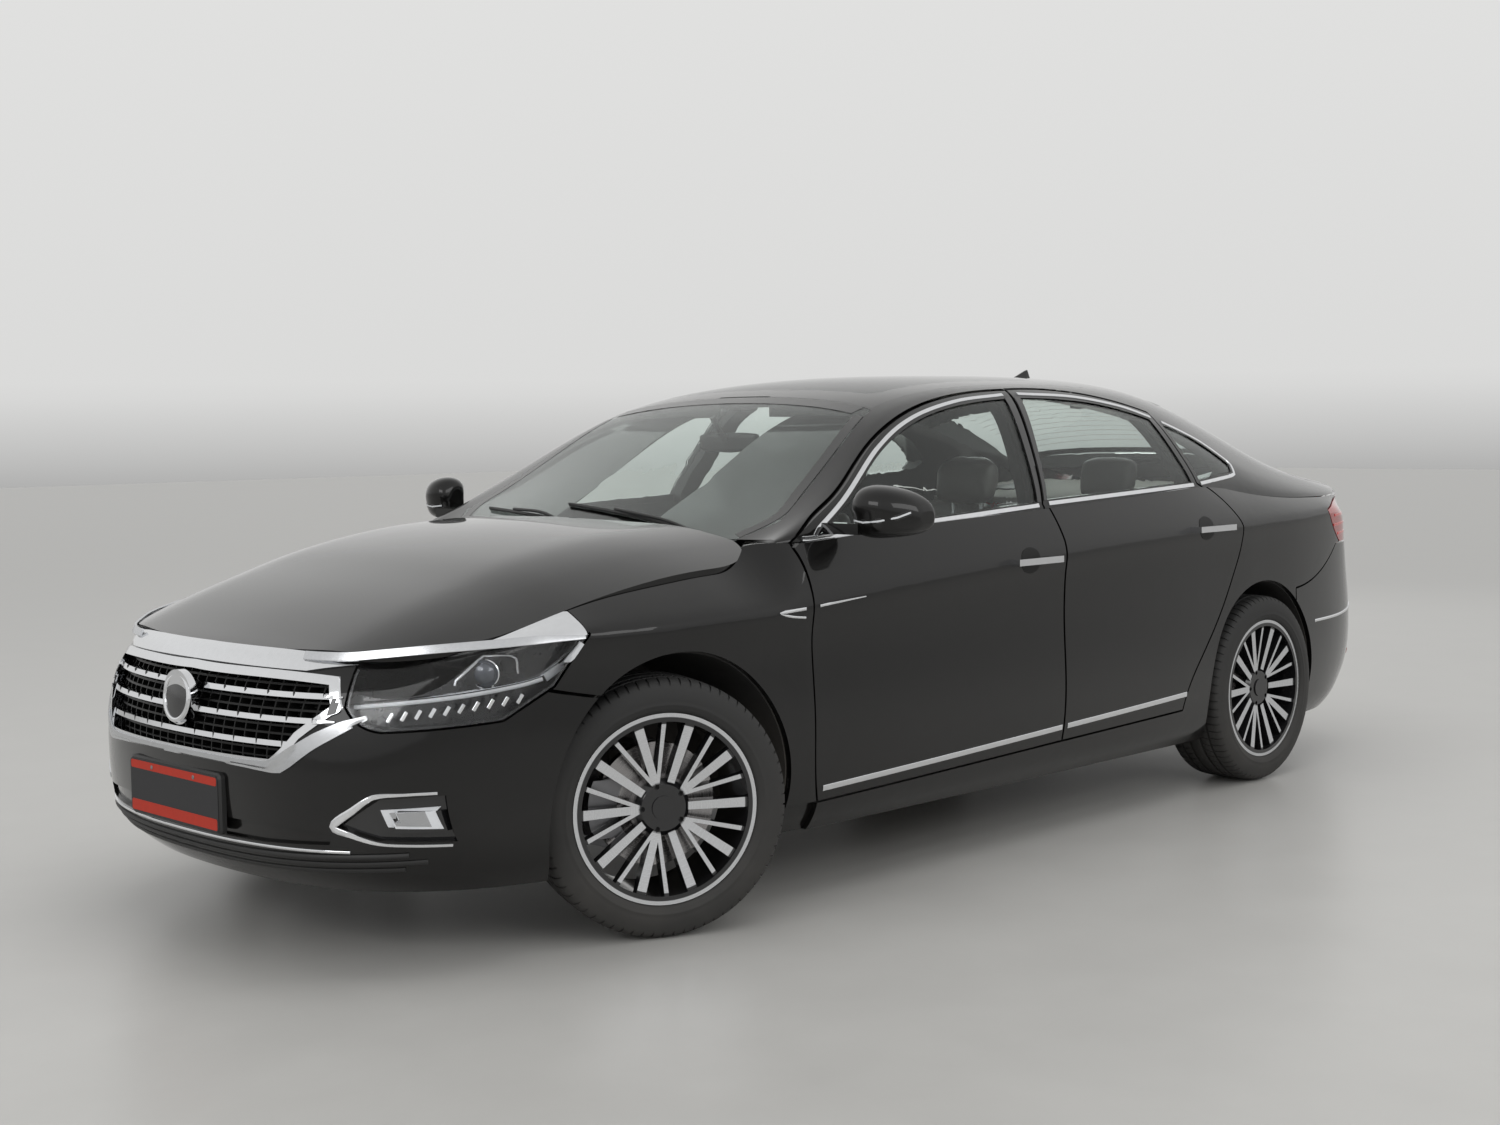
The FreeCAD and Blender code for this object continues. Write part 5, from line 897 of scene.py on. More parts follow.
for side, word in sides.items():
    for name, (step, width, (acrossShift, upShift), line) in front["runLamps"].items():
        line = sideLine(line, step)
        strip("%s_%s" % (name, word), lampRow(bowl, line, side), (width, 0.004, 0.001), lampWhite, "body",
              "lamp_glass")
        edge = [(t + acrossShift, z + upShift) for t, z in line]
        strip("%sEdge_%s" % (name, word), lampRow(bowl, edge, side), (0.004, 0.005, 0.001), chrome, "body",
              "chrome")
    for number in range(front["dashes"]):
        part = number / (front["dashes"] - 1)
        t, z = (first + (last - first) * part for first, last in zip(front["dashFrom"], front["dashTo"]))
        hits = lampRow(lensTree, [(t - 0.006, z - 0.010), (t, z), (t + 0.006, z + 0.010)], side)
        strip("lampMark%d_%s" % (number, word), hits, (0.009, 0.0024, 0.001), chrome, "body", "chrome",
              least=3)
    for number, (t, z) in enumerate(front["projectors"]):
        hits = lampRow(bowl, [(t, z)], side)
        if not hits:
            continue
        facing = Matrix.Translation(hits[0][0]) @ (-look[side]).to_track_quat("Z", "Y").to_matrix().to_4x4()
        lathe("projector%d_%s" % (number, word), front["projector"], facing, projectorGlass, "body",
              "lamp_glass")
        lathe("projectorRing%d_%s" % (number, word), front["projectorRing"], facing, chrome, "body", "chrome")
        line = sideLine([(t + across, z + up) for across, up in front["projectorFrame"]], 0.012)
        strip("projectorFrame%d_%s" % (number, word), lampRow(bowl, line, side), (0.007, 0.006, 0.001),
              satinChrome, "body", "chrome")
    # Fog lamp: bright arrow-shaped trim and the lens in its dark recess
    line = frontLine(front["fogTrim"], 0.012, side)
    strip("fogTrim_" + word, frontHits(bumperTree, line), (0.014, 0.004, 0.004), chrome, "body", "chrome",
          taper=fogWidth)
    layPatch("fogLens_" + word, fogTree, frontRows(side, *front["fogLens"], 6, 9), (-1, 0, 0), 0.001, 0.004,
             lampWhite, "body", "lamp_glass")
    layPatch("fogGlow_" + word, fogTree, frontRows(side, *front["fogGlow"], 5, 7), (-1, 0, 0), 0.005, 0.0015,
             reflector, "body", "lamp_glass")
# Lower intake line and the ribs of the black lip
strip("intakeLine", frontHits(bumperTree, frontLine(front["intakeLine"], 0.03)), (0.008, 0.004, 0.002),
      chrome, "body", "chrome")
for number, (z, reach, high) in enumerate(front["lip"]):
    line = frontLine([(-reach, z + 0.012), (-reach / 2, z), (0, z - 0.002), (reach / 2, z),
                      (reach, z + 0.012)],
                     0.03)
    strip("frontLip%d" % number, frontHits(bumperTree, line), (0.013, high, 0.002, 0.5), blackTrim, "body",
          "black_trim")
print("stage: front")


# Satin band under the grille that runs out into a wing toward each lamp, and the bright brow over the lamps
band = {
    "low": [(0, 0.497), (0.173, 0.495), (0.307, 0.490), (0.400, 0.484), (0.426, 0.486), (0.454, 0.503),
            (0.510, 0.546), (0.578, 0.590), (0.618, 0.619)],
    "high": [(0, 0.512), (0.173, 0.511), (0.307, 0.510), (0.380, 0.511), (0.406, 0.520), (0.456, 0.553),
             (0.504, 0.584), (0.563, 0.614), (0.612, 0.628)],
    "brow": [(2.333, 0.400, 0.757), (2.318, 0.458, 0.757), (2.286, 0.532, 0.759), (2.243, 0.588, 0.765),
             (2.163, 0.676, 0.775), (2.052, 0.768, 0.784), (1.950, 0.835, 0.791), (1.838, 0.864, 0.790)],
    "browFacing": (0.66, 0.66, 0.36), "browWide": 0.022, "browProud": 0.0085,
    "end": ([(0.530, 0.600), (0.566, 0.616)], [(0.530, 0.722), (0.566, 0.722)]),
    "barFrom": 0.500, "barStep": 0.006, "barSteps": 9,
}
bandTree = treeOf("front_bumper", "grille_chrome", "headlamp_lenses")
barEndTree = treeOf("grille_chrome", "front_bumper")
for side, word in sides.items():
    layPatch("grilleBand_" + word, bandTree, frontRows(side, band["low"], band["high"], 5, 60), (-1, 0, 0),
             0.0005, 0.0045, satinChrome, "body", "chrome")
    x, y, z = band["browFacing"]
    facing = Vector((x, side * y, z)).normalized()
    line = smoothLine([(x, side * y, z) for x, y, z in band["brow"]], 0.02)
    strip("lampBrow_" + word, [(p + facing * band["browProud"], facing) for p in line],
          (band["browWide"], 0.003, 0.003), satinChrome, "body", "chrome",
          taper=lambda part: 1.0 if part < 0.8 else 1.0 - 0.55 * (part - 0.8) / 0.2)
    # The grille's upright ends are dark; the bars run on over them
    layPatch("grilleEnd_" + word, barTree, frontRows(side, *band["end"], 10, 5), (-1, 0, 0), 0.0005, 0.0015,
             glossBlack, "body", "black_trim")
    for number, (z, tall) in enumerate(bars[1:], 1):
        line = [(side * (band["barFrom"] + band["barStep"] * step), z) for step in range(band["barSteps"])]
        strip("grilleBarEnd%d_%s" % (number, word), frontHits(barEndTree, line), (tall * 0.8, 0.0032, 0.002),
              chrome, "body", "chrome", taper=lambda part: 1.0 - 0.6 * part)
print("stage: grille band")


# Outside details: fender strips, wipers, aerial, glass borders, mirror glass and fuel flap
outside = {
    "fenderStrip": (0.009, [(1.199, 0.803), (1.150, 0.806), (1.100, 0.8085)]),
    "fenderStripLower": (0.006, [(1.196, 0.800), (1.150, 0.790), (1.100, 0.784)]),
    "doorStrip": (0.008, [(1.046, 0.812), (0.960, 0.818), (0.862, 0.825)]),
    "mirrorGlass": ([(0.960, 1.020), (1.060, 1.030)], [(0.952, 1.112), (1.050, 1.100)]),
    "mirrorBand": [(0.945, 1.040), (0.985, 1.036), (1.030, 1.040), (1.070, 1.050), (1.088, 1.062)],
    # Wipers: how far the pivot lies across from the blade's end, line seen from above
    "wipers": {
        "wiperLong": (0.03, [(1.118, 0.500), (1.098, 0.300), (1.074, 0.060), (1.050, -0.130)]),
        "wiperShort": (0.02, [(1.128, -0.080), (1.090, -0.300), (1.026, -0.560)])},
    "rubber": [(-0.0012, 0.0004), (-0.0030, 0.006), (0.0030, 0.006), (0.0012, 0.0004)],
    "blade": [(-0.006, 0), (-0.0045, 0.0045), (0.001, 0.0075), (0.0058, 0.002), (0.006, 0)],
    "pivot": [(0.014, -0.012), (0.0145, 0.004), (0.011, 0.010), (0.002, 0.012)],
    # Borders printed on the glass: width, line seen from above
    "borders": {
        "borderWindshieldLow": (0.050, [
            (1.150, -0.560), (1.165, -0.300), (1.170, 0), (1.165, 0.300), (1.150, 0.560)]),
        "borderWindshieldTop": (0.055, [
            (0.470, -0.540), (0.455, -0.300), (0.450, 0), (0.455, 0.300), (0.470, 0.540)]),
        "borderWindshieldLeft": (0.034, [
            (1.090, 0.640), (0.980, 0.690), (0.861, 0.662), (0.651, 0.612), (0.500, 0.570)]),
        "borderWindshieldRight": (0.034, [
            (1.090, -0.640), (0.980, -0.690), (0.861, -0.662), (0.651, -0.612), (0.500, -0.570)]),
        "borderRearTop": (0.050, [(-1.225, -0.500), (-1.240, 0), (-1.225, 0.500)]),
        "borderRearLow": (0.050, [(-1.800, -0.560), (-1.830, 0), (-1.800, 0.560)])},
    "heaters": 11, "heaterFirst": -1.30, "heaterStep": 0.043, "heaterDeep": 0.0052,
    "aerialX": -1.040, "aerial": (0.150, 0.040, 0.058),
    "flapLine": [(-1.700, 0.800), (-1.560, 0.806), (-1.545, 0.880), (-1.600, 0.930), (-1.690, 0.922),
                 (-1.716, 0.860)],
}
for side, word in sides.items():
    frontDoor = "front_door_" + word
    fender = treeOf("front_fenders", "body_side_" + word)
    for name, tree, body, taper in (
            ("fenderStrip", fender, "body", lambda part: 0.35 + 0.65 * min(1, part * 5)),
            ("fenderStripLower", fender, "body", lambda part: 0.35 + 0.65 * min(1, part * 5)),
            ("doorStrip", treeOf("door_front_" + word), frontDoor, lambda part: 1.0 - 0.55 * part)):
        width, line = outside[name]
        strip("%s_%s" % (name, word), sideHits(tree, sideLine(line, 0.012), side), (width, 0.003, 0.002),
              chrome, body, "chrome", taper=taper)
    # Mirror glass, dark band and turn lamp
    mirror = treeOf("mirror_" + word)
    layPatch("mirrorGlass_" + word, mirror, frontRows(side, *outside["mirrorGlass"], 8, 10), (1, 0, 0),
             0.0006, 0.0014, mirrorGlass, frontDoor, "glass")
    hits = frontHits(mirror, [(side * y, z) for y, z in outside["mirrorBand"]])
    strip("mirrorBand_" + word, hits, (0.015, 0.0016, 0.003), glossBlack, frontDoor, "black_trim", least=3)
    strip("mirrorTurnLamp_" + word, [(p + n * 0.0016, n) for p, n in hits], (0.005, 0.0012, 0.001), lampWhite,
          frontDoor, "lamp_glass", least=3)

screen = treeOf("windshield")
rearScreen = treeOf("rear_window")
for name, (shift, line) in outside["wipers"].items():
    hits = topHits(screen, topLine(line, 0.02))
    facesOut(layStrip(name + "Rubber", hits, outside["rubber"], rubber, "body", "black_trim"))
    facesOut(layStrip(name + "Blade", [(p + n * 0.0058, n) for p, n in hits], outside["blade"], blackTrim,
                      "body", "black_trim", taper=lambda part: 0.6 + 0.4 * min(1, 6 * min(part, 1 - part))))
    middle = hits[len(hits) * 3 // 5][0]
    base = hits[0][0] + Vector((0.020, shift, 0.004))
    tube(name + "Arm", [base, base.lerp(middle, 0.35) + Vector((0.012, 0, 0.020)),
                        middle + Vector((0.002, 0, 0.015))],
         0.0052, blackTrim, "body", "black_trim", 10, 0.02)
    lathe(name + "Pivot", outside["pivot"], Matrix.Translation(base), blackTrim, "body", "black_trim", 24)
for name, (width, line) in outside["borders"].items():
    hits = topHits(rearScreen if "Rear" in name else screen, topLine(line, 0.03))
    strip(name, hits, (width, 0.0007, 0.0002), fritBlack, "body", "black_trim")
for number in range(outside["heaters"]):
    x = outside["heaterFirst"] - number * outside["heaterStep"]
    hits = [(p - n * outside["heaterDeep"], n)
            for p, n in topHits(rearScreen, [(x, -0.50 + 0.1 * step) for step in range(11)])]
    if len(hits) > 3:
        layStrip("rearHeater%d" % number, hits, flatSection(0.0016, 0.0002, 0.0001), heaterLine, "body",
                 "black_trim")

# Aerial fin on the roof
long, wide, tall = outside["aerial"]
base = cast(treeOf("roof", "rear_window", "cabin_frame"), (outside["aerialX"], 0, 3), (0, 0, -1))[0]


def finForm(co):
    rise = co.z / tall + 0.5
    part = co.x / long + 0.5
    return Vector((co.x * (1 - 0.55 * rise) - 0.030 * rise, co.y * (1 - 0.80 * rise) * (1 - 0.35 * part),
                   co.z * (1 - 0.45 * part) - 0.22 * tall * part))


block("aerial", outside["aerial"], at(outside["aerialX"], 0, base.z + tall * 0.36), 0.004, paint, "body",
      "paint", cuts=4, form=finForm)
# Fuel flap outline on the right rear side
hits = sideHits(treeOf("body_side_right"), sideLine(outside["flapLine"], 0.012, True), -1)
layStrip("fuelFlapGap", hits, flatSection(0.0032, 0.0004, 0.001), rubber, "body", "black_trim", closed=True)
print("stage: outside")


# Seats: every cushion is swollen as padding and covered with dark leather.
# Outlines are (along, up); parts are outline, half width, how much the ends draw in, most swelling
seats = {
    "frontY": 0.375, "step": 0.030, "pressure": 4.0, "frames": 14, "voxel": 0.012, "quality": 4,
    "columns": 9, "smoothing": 6, "smoothFactor": 0.6,
    "cushion": [(-0.165, 0.325), (-0.190, 0.415), (0.040, 0.448), (0.275, 0.466), (0.318, 0.440),
                (0.312, 0.385), (0.285, 0.325)],
    "back": [(-0.172, 0.405), (-0.064, 0.424), (-0.120, 0.650), (-0.212, 0.950), (-0.246, 0.992),
             (-0.286, 0.978), (-0.262, 0.790), (-0.186, 0.470)],
    "rest": [(-0.268, 1.026), (-0.226, 1.034), (-0.226, 1.110), (-0.244, 1.166), (-0.278, 1.180),
             (-0.312, 1.160), (-0.306, 1.090)],
    "rearCushion": [(-0.575, 0.337), (-0.576, 0.440), (-0.606, 0.474), (-0.660, 0.477), (-0.990, 0.446),
                    (-0.945, 0.337)],
    "rearBack": [(-0.962, 0.462), (-1.060, 0.780), (-1.124, 0.976), (-1.166, 1.000), (-1.206, 0.992),
                 (-1.096, 0.700), (-1.030, 0.452)],
    "frontParts": {"Cushion": ("cushion", 0.150, 0.05, 0.008), "Back": ("back", 0.142, 0.05, 0.008),
                   "Headrest": ("rest", 0.112, 0.16, 0.008)},
    # Side bolsters stand a little prouder than the middle: outline and its shift
    "bolsters": {"CushionBolster": ("cushion", 0, 0.014), "BackBolster": ("back", 0.012, 0)},
    "bolsterY": 0.196, "bolster": (0.040, 0.14, 0.006),
    "rearPlaces": {"Left": (0.215, 0.610), "Middle": (-0.205, 0.205)}, "rearGap": 0.006,
    "rearParts": {"Cushion": "rearCushion", "Back": "rearBack"}, "rearPart": (0.05, 0.008),
    "rearRestShift": (-0.895, -0.012), "rearRestY": 0.33, "rearRest": (0.110, 0.16, 0.006),
    "seamY": (-0.10, 0.10), "seamWidth": 0.0016,
    "seams": {"Cushion": ([(-0.06, 0.5), (0.10, 0.5), (0.26, 0.5)], (0, 0, -1)),
              "Back": ([(0, 0.52), (0, 0.72), (0, 0.93)], (-1, 0, 0))},
    "posts": [(-0.262, 0.965), (-0.266, 1.01), (-0.268, 1.06)],
}


def paddedBlock(name, outline, centreY, half, taper, cap):
    line = sideLine(outline, seats["step"], True)
    middleX = sum(x for x, z in line) / len(line)
    middleZ = sum(z for x, z in line) / len(line)
    points = []
    for column in range(seats["columns"]):
        u = column / (seats["columns"] - 1) * 2 - 1
        shrink = 1 - taper * abs(u) ** 5
        points += [(middleX + (x - middleX) * shrink, centreY + u * half, middleZ + (z - middleZ) * shrink)
                   for x, z in line]
    faces = shellFaces(seats["columns"], len(line))
    piece = newPiece(name, points, faces, leather, "body", "seat_leather", 0)
    facesOut(piece)
    swell(piece, cap)
    return piece


def applyModifiers(piece):
    graph = bpy.context.evaluated_depsgraph_get()
    mesh = bpy.data.meshes.new_from_object(piece.evaluated_get(graph), depsgraph=graph)
    piece.modifiers.clear()
    old = piece.data
    piece.data = mesh
    bpy.data.meshes.remove(old)


# Cloth pressure blows the padding up, by no more than the cap
def swell(piece, cap):
    remesh = piece.modifiers.new("remesh", "REMESH")
    remesh.mode = "VOXEL"
    remesh.voxel_size = seats["voxel"]
    remesh.use_smooth_shade = True
    applyModifiers(piece)
    start = [v.co.copy() for v in piece.data.vertices]
    cloth = piece.modifiers.new("cloth", "CLOTH")
    cloth.settings.use_pressure = True
    cloth.settings.uniform_pressure_force = seats["pressure"]
    cloth.settings.effector_weights.gravity = 0
    cloth.settings.quality = seats["quality"]
    cloth.point_cache.frame_start = 1
    cloth.point_cache.frame_end = seats["frames"]
    for number in range(1, seats["frames"] + 1):
        scene.frame_set(number)
    graph = bpy.context.evaluated_depsgraph_get()
    blown = [v.co.copy() for v in piece.evaluated_get(graph).data.vertices]
    piece.modifiers.clear()
    scene.frame_set(1)
    for vertex, first, last in zip(piece.data.vertices, start, blown):
        move = last - first
        if move.length > cap:
            move *= cap / move.length
        vertex.co = first + move
    smooth = piece.modifiers.new("smooth", "SMOOTH")
    smooth.iterations = seats["smoothing"]
    smooth.factor = seats["smoothFactor"]
    finer = piece.modifiers.new("finer", "SUBSURF")
    finer.levels = 1
    applyModifiers(piece)
    piece.data.polygons.foreach_set("use_smooth", [True] * len(piece.data.polygons))


def copyAcross(piece, name, body):
    twin = piece.copy()
    twin.data = piece.data.copy()
    twin.name = name
    for vertex in twin.data.vertices:
        vertex.co.y = -vertex.co.y
    twin.data.flip_normals()
    scene.collection.objects.link(twin)
    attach(twin, body)


# A raised seam laid on a swollen cushion
def seam(name, piece, line, direction):
    direction = Vector(direction)
    hits = hitsAlong(meshTree(piece.data), [place - direction * 0.8 for place in smoothLine(line, 0.02)],
                     direction)
    layStrip(name, hits, roundSection(seats["seamWidth"], 8, 0.7, 0.0006), thread, "body", "seat_leather")


thread = makeSurface("seatThread", (0.10, 0.085, 0.07), 0.7, speckle=0.12, speckleSize=800, grain=0.4,
                     grainSize=900)
frontParts = []
for label, (outline, half, taper, cap) in seats["frontParts"].items():
    piece = paddedBlock("front%s_left" % label, seats[outline], seats["frontY"], half, taper, cap)
    frontParts.append((label, piece))
for label, (outline, ahead, lift) in seats["bolsters"].items():
    shifted = [(x + ahead, z + lift) for x, z in seats[outline]]
    for end, word in ends.items():
        piece = paddedBlock("front%s_%s_left" % (label, word.lower()), shifted,
                            seats["frontY"] + end * seats["bolsterY"], *seats["bolster"])
        frontParts.append((label + word, piece))
for label, piece in frontParts:
    copyAcross(piece, "front%s_right" % label, "body")
for number, offset in enumerate(seats["seamY"]):
    for label, piece in frontParts[:2]:
        line, direction = seats["seams"][label]
        seam("front%sSeam%d_left" % (label, number), piece,
             [(x, seats["frontY"] + offset, z) for x, z in line], direction)
# Base frame, runners and headrest posts
for side, word in sides.items():
    y = seats["frontY"]
    block("seatBase_" + word, (0.36, 0.38, 0.10), at(0.06, side * y, 0.270), 0.012, blackTrim, "body",
          "black_trim", cuts=2)
    for end, place in ends.items():
        block("seatRunner%s_%s" % (place, word), (0.50, 0.040, 0.022),
              at(0.05, side * (y + end * 0.165), 0.2175), 0.004, steel, "body", "steel", cuts=2)
        block("seatShell%s_%s" % (place, word), (0.34, 0.018, 0.085),
              at(0.05, side * (y + end * 0.243), 0.345), 0.008, blackTrim, "body", "black_trim", cuts=3)
        tube("headrestPost%s_%s" % (place, word), [(x, side * y + end * 0.06, z) for x, z in seats["posts"]],
             0.0065, satinChrome, "body", "steel", 12, 0.012)
rearPieces = []
for place, (low, high) in seats["rearPlaces"].items():
    for label, outline in seats["rearParts"].items():
        piece = paddedBlock("rear%s%s" % (label, place), seats[outline], (low + high) / 2,
                            (high - low) / 2 - seats["rearGap"], *seats["rearPart"])
        rearPieces.append((label, piece))
for label, piece in rearPieces[:2]:
    copyAcross(piece, "rear%sRight" % label, "body")
backShift, upShift = seats["rearRestShift"]
restLine = [(x + backShift, z + upShift) for x, z in seats["rest"]]
for side, word in sides.items():
    paddedBlock("rearHeadrest_" + word, restLine, side * seats["rearRestY"], *seats["rearRest"])
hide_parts("front_seats")
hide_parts("rear_seat")
print("stage: seats")


# Cabin: dashboard fittings, wheel cover, door cards, mirror, roof lining, carpet and pedals.
# Vents and panels are (across, up, wide, high)
cabin = {
    "wheelCentre": (0.455, 0.375, 0.800), "wheelTilt": 24.0 - 90,
    "vents": {"ventLeft": (0.600, 0.865, 0.120, 0.060), "ventMiddleLeft": (0.075, 0.862, 0.110, 0.050),
              "ventMiddleRight": (-0.075, 0.862, 0.110, 0.050), "ventRight": (-0.600, 0.865, 0.120, 0.060)},
    "panels": {"dashScreen": (0, 0.775, 0.225, 0.105), "climatePanel": (0, 0.680, 0.210, 0.050),
               "gaugeGlass": (0.375, 0.890, 0.290, 0.080), "gloveBox": (-0.385, 0.735, 0.380, 0.150)},
    "slats": 4, "keys": 6, "keyFirst": 0.075, "keyStep": 0.030,
    "trimZ": 0.822, "trimFirst": -0.62, "trimStep": 0.031, "trimSteps": 41,
    "gearBoot": [(0.052, 0), (0.048, 0.018), (0.030, 0.040), (0.018, 0.062), (0.014, 0.070)],
    "pedals": {"pedalBrake": (0.365, 0.055), "pedalGas": (0.235, 0.110)},
    "pedalArm": [(0.950, 0.40), (1.000, 0.50), (1.040, 0.62)],
    "stalks": {"stalkLeft": 1, "stalkRight": -1},
    "stalk": [(0.545, 0.030, 0.762), (0.540, 0.100, 0.780), (0.532, 0.160, 0.800)],
    "linings": {"roofLiningFront": (0.345, 0.405), "roofLiningRear": (-1.190, -0.540)},
    "carpets": {"carpetFront": (0.340, 1.000), "carpetRear": (-0.560, -0.120)},
    # Door cards: rear edge, front edge, low, high, and how far the speaker is from the front edge
    "doors": {"front": (-0.060, 0.900, 0.390, 0.930, 0.17), "rear": (-0.800, -0.150, 0.420, 0.950, 0.16)},
    "speaker": [(0.074, -0.002), (0.076, 0.006), (0.070, 0.009), (0.066, 0.005), (0.030, 0.007),
                (0.004, 0.009)],
}
roofCloth = makeSurface("clothRoof", (0.30, 0.29, 0.27), 0.9, speckle=0.03, speckleSize=300, grain=0.08,
                        grainSize=900, sheen=0.2)
carpet = makeSurface("carpetDark", (0.030, 0.028, 0.027), 0.95, speckle=0.25, speckleSize=400, grain=0.9,
                     grainSize=700, sheen=0.3)
screenGlass = makeSurface("screenDark", (0.008, 0.009, 0.011), 0.06, speckle=0.04, coat=0.8)
trimLight = makeSurface("trimBrushed", (0.34, 0.33, 0.31), 0.32, metallic=0.9, speckle=0.18, speckleSize=60,
                        stretch=(1, 0.08, 1))
wheelPose = at(*cabin["wheelCentre"], 0, cabin["wheelTilt"])
dashTree = treeOf("dashboard")


def padForm(co):
    lift = 1 - (co.x / 0.075) ** 2 * 0.35 - (co.y / 0.085) ** 2 * 0.35
    return Vector((co.x, co.y, co.z * max(0.4, lift) if co.z > 0 else co.z))


# A place on the dashboard, seen from the seats, some way proud of its surface
def dashPlace(y, z, proud):
    hit = cast(dashTree, (-1.0, y, z), (1, 0, 0))[0]
    return Matrix(((0, 0, -1, hit.x - proud), (-1, 0, 0, y), (0, 1, 0, z), (0, 0, 0, 1)))


block("wheelPad", (0.125, 0.165, 0.036), wheelPose @ at(-0.006, 0, 0.020), 0.014, dashSkin, "steering_wheel",
      "interior", cuts=4, form=padForm)
for side, word in sides.items():
    block("wheelSwitches_" + word, (0.030, 0.055, 0.012), wheelPose @ at(0, side * 0.113, 0.010), 0.004,
          glossBlack, "steering_wheel", "black_trim", cuts=2)
    block("wheelSpokeTrim_" + word, (0.006, 0.060, 0.006), wheelPose @ at(-0.020, side * 0.115, 0.009), 0.002,
          satinChrome, "steering_wheel", "chrome", cuts=1)
for name, (y, z, wide, high) in cabin["vents"].items():
    place = dashPlace(y, z, 0.002)
    roundPlate(name + "Frame", place, wide + 0.014, high + 0.012, 0.006, 0.008, trimLight, "body", "interior")
    roundPlate(name + "Back", place @ at(0, 0, 0.0045), wide, high, 0.002, 0.006, glossBlack, "body",
               "black_trim")
    for number in range(cabin["slats"]):
        roundPlate("%sSlat%d" % (name, number), place @ at(0, high * (number - 1.5) / 4.4, 0.006),
                   wide - 0.006, 0.005, 0.005, 0.002, blackTrim, "body", "black_trim")
panelFinish = {"climatePanel": glossBlack, "gloveBox": dashSkin}
for name, (y, z, wide, high) in cabin["panels"].items():
    place = dashPlace(y, z, 0.003)
    roundPlate(name, place, wide, high, 0.009, 0.010, panelFinish.get(name, screenGlass), "body", "interior")
    if name != "gloveBox":
        roundPlate(name + "Rim", place @ at(0, 0, -0.002), wide + 0.012, high + 0.012, 0.008, 0.012,
                   trimLight, "body", "interior")
keys = dashPlace(*cabin["panels"]["climatePanel"][:2], 0.012)
for number in range(cabin["keys"]):
    roundPlate("climateKey%d" % number, keys @ at(cabin["keyFirst"] - number * cabin["keyStep"], 0, 0), 0.024,
               0.016, 0.003, 0.003, blackTrim, "body", "black_trim")
line = [(-1.0, cabin["trimFirst"] + step * cabin["trimStep"], cabin["trimZ"])
        for step in range(cabin["trimSteps"])]
strip("dashTrim", hitsAlong(dashTree, line, (1, 0, 0)), (0.020, 0.003, 0.002), trimLight, "body", "interior")
block("gaugeHood", (0.16, 0.34, 0.030), at(0.560, 0.375, 0.945, 0, 8), 0.012, dashSkin, "body", "interior",
      cuts=3, form=lambda co: Vector((co.x, co.y * (1 - 0.25 * max(0, co.x) / 0.08),
                                      co.z - 0.5 * co.y * co.y)))
# Gear selector, armrest, pedals and stalks
block("gearKnob", (0.070, 0.046, 0.050), at(0.260, 0, 0.575, 0, -14), 0.016, glossBlack, "body", "interior",
      cuts=3)
lathe("gearBoot", cabin["gearBoot"], at(0.268, 0, 0.497), leather, "body", "seat_leather", 28)
roundPlate("gearPlate", at(0.262, 0, 0.4985), 0.190, 0.130, 0.003, 0.012, glossBlack, "body", "interior")
block("armrest", (0.300, 0.180, 0.070), at(0.005, 0, 0.520), 0.022, leather, "body", "seat_leather", cuts=5,
      form=lambda co: Vector((co.x, co.y, co.z * (1 - 0.18 * co.y * co.y / 0.0081) + 0.006 * (co.z > 0))))
for name, (y, tall) in cabin["pedals"].items():
    block(name, (0.012, 0.060, tall), at(0.945, y, 0.395, 0, -28), 0.004, rubber, "body", "black_trim",
          cuts=3)
    tube(name + "Arm", [(x, y, z) for x, z in cabin["pedalArm"]], 0.007, steel, "body", "steel", 10, 0.03)
for name, end in cabin["stalks"].items():
    tube(name, [(x, 0.375 + end * y, z) for x, y, z in cabin["stalk"]], 0.0085, blackTrim, "body",
         "black_trim", 12, 0.02)
# Inside mirror on the windscreen
top = cast(screen, (0.560, 0, 1.0), (0, 0, 1))[0]
stem = [top + Vector(step) for step in ((0, 0, -0.004), (-0.030, 0, -0.045), (-0.055, 0, -0.075))]
tube("insideMirrorStem", stem, 0.010, blackTrim, "body", "black_trim", 12, 0.02)
block("insideMirror", (0.030, 0.235, 0.062), at(top.x - 0.075, 0, top.z - 0.085, 6, 8), 0.012, blackTrim,
      "body", "black_trim", cuts=4, form=lambda co: Vector((co.x, co.y,
                                                            co.z * (1 - 0.168 * co.y ** 2 / 0.0138))))
block("insideMirrorGlass", (0.004, 0.215, 0.048), at(top.x - 0.0915, 0, top.z - 0.083, 6, 8), 0.0015,
      mirrorGlass, "body", "glass", cuts=3)
# Roof lining and carpet
roofTree = treeOf("roof", "roof_glass")
floorTree = treeOf("floor_pan")
for name, (x0, x1) in cabin["linings"].items():
    layPatch(name, roofTree, planRows(x0, x1, -0.540, 0.540, 1.0, 12, 24), (0, 0, 1), 0.003, 0.006, roofCloth,
             "body", "interior", start=0.0)
for side, word in sides.items():
    rows = between(*([(x, side * y, 1.0) for x in (0.34, -0.54)] for y in (0.500, 0.545)), 5, 24)
    layPatch("roofLining_" + word, roofTree, rows, (0, 0, 1), 0.003, 0.006, roofCloth, "body", "interior",
             start=0.0)
for name, (x0, x1) in cabin["carpets"].items():
    for side, word in sides.items():
        layPatch("%s_%s" % (name, word), floorTree,
                 planRows(x0, x1, side * 0.150, side * 0.650, 0.60, 10, 12), (0, 0, -1), 0.002, 0.007,
                 carpet, "body", "interior", start=0.2)


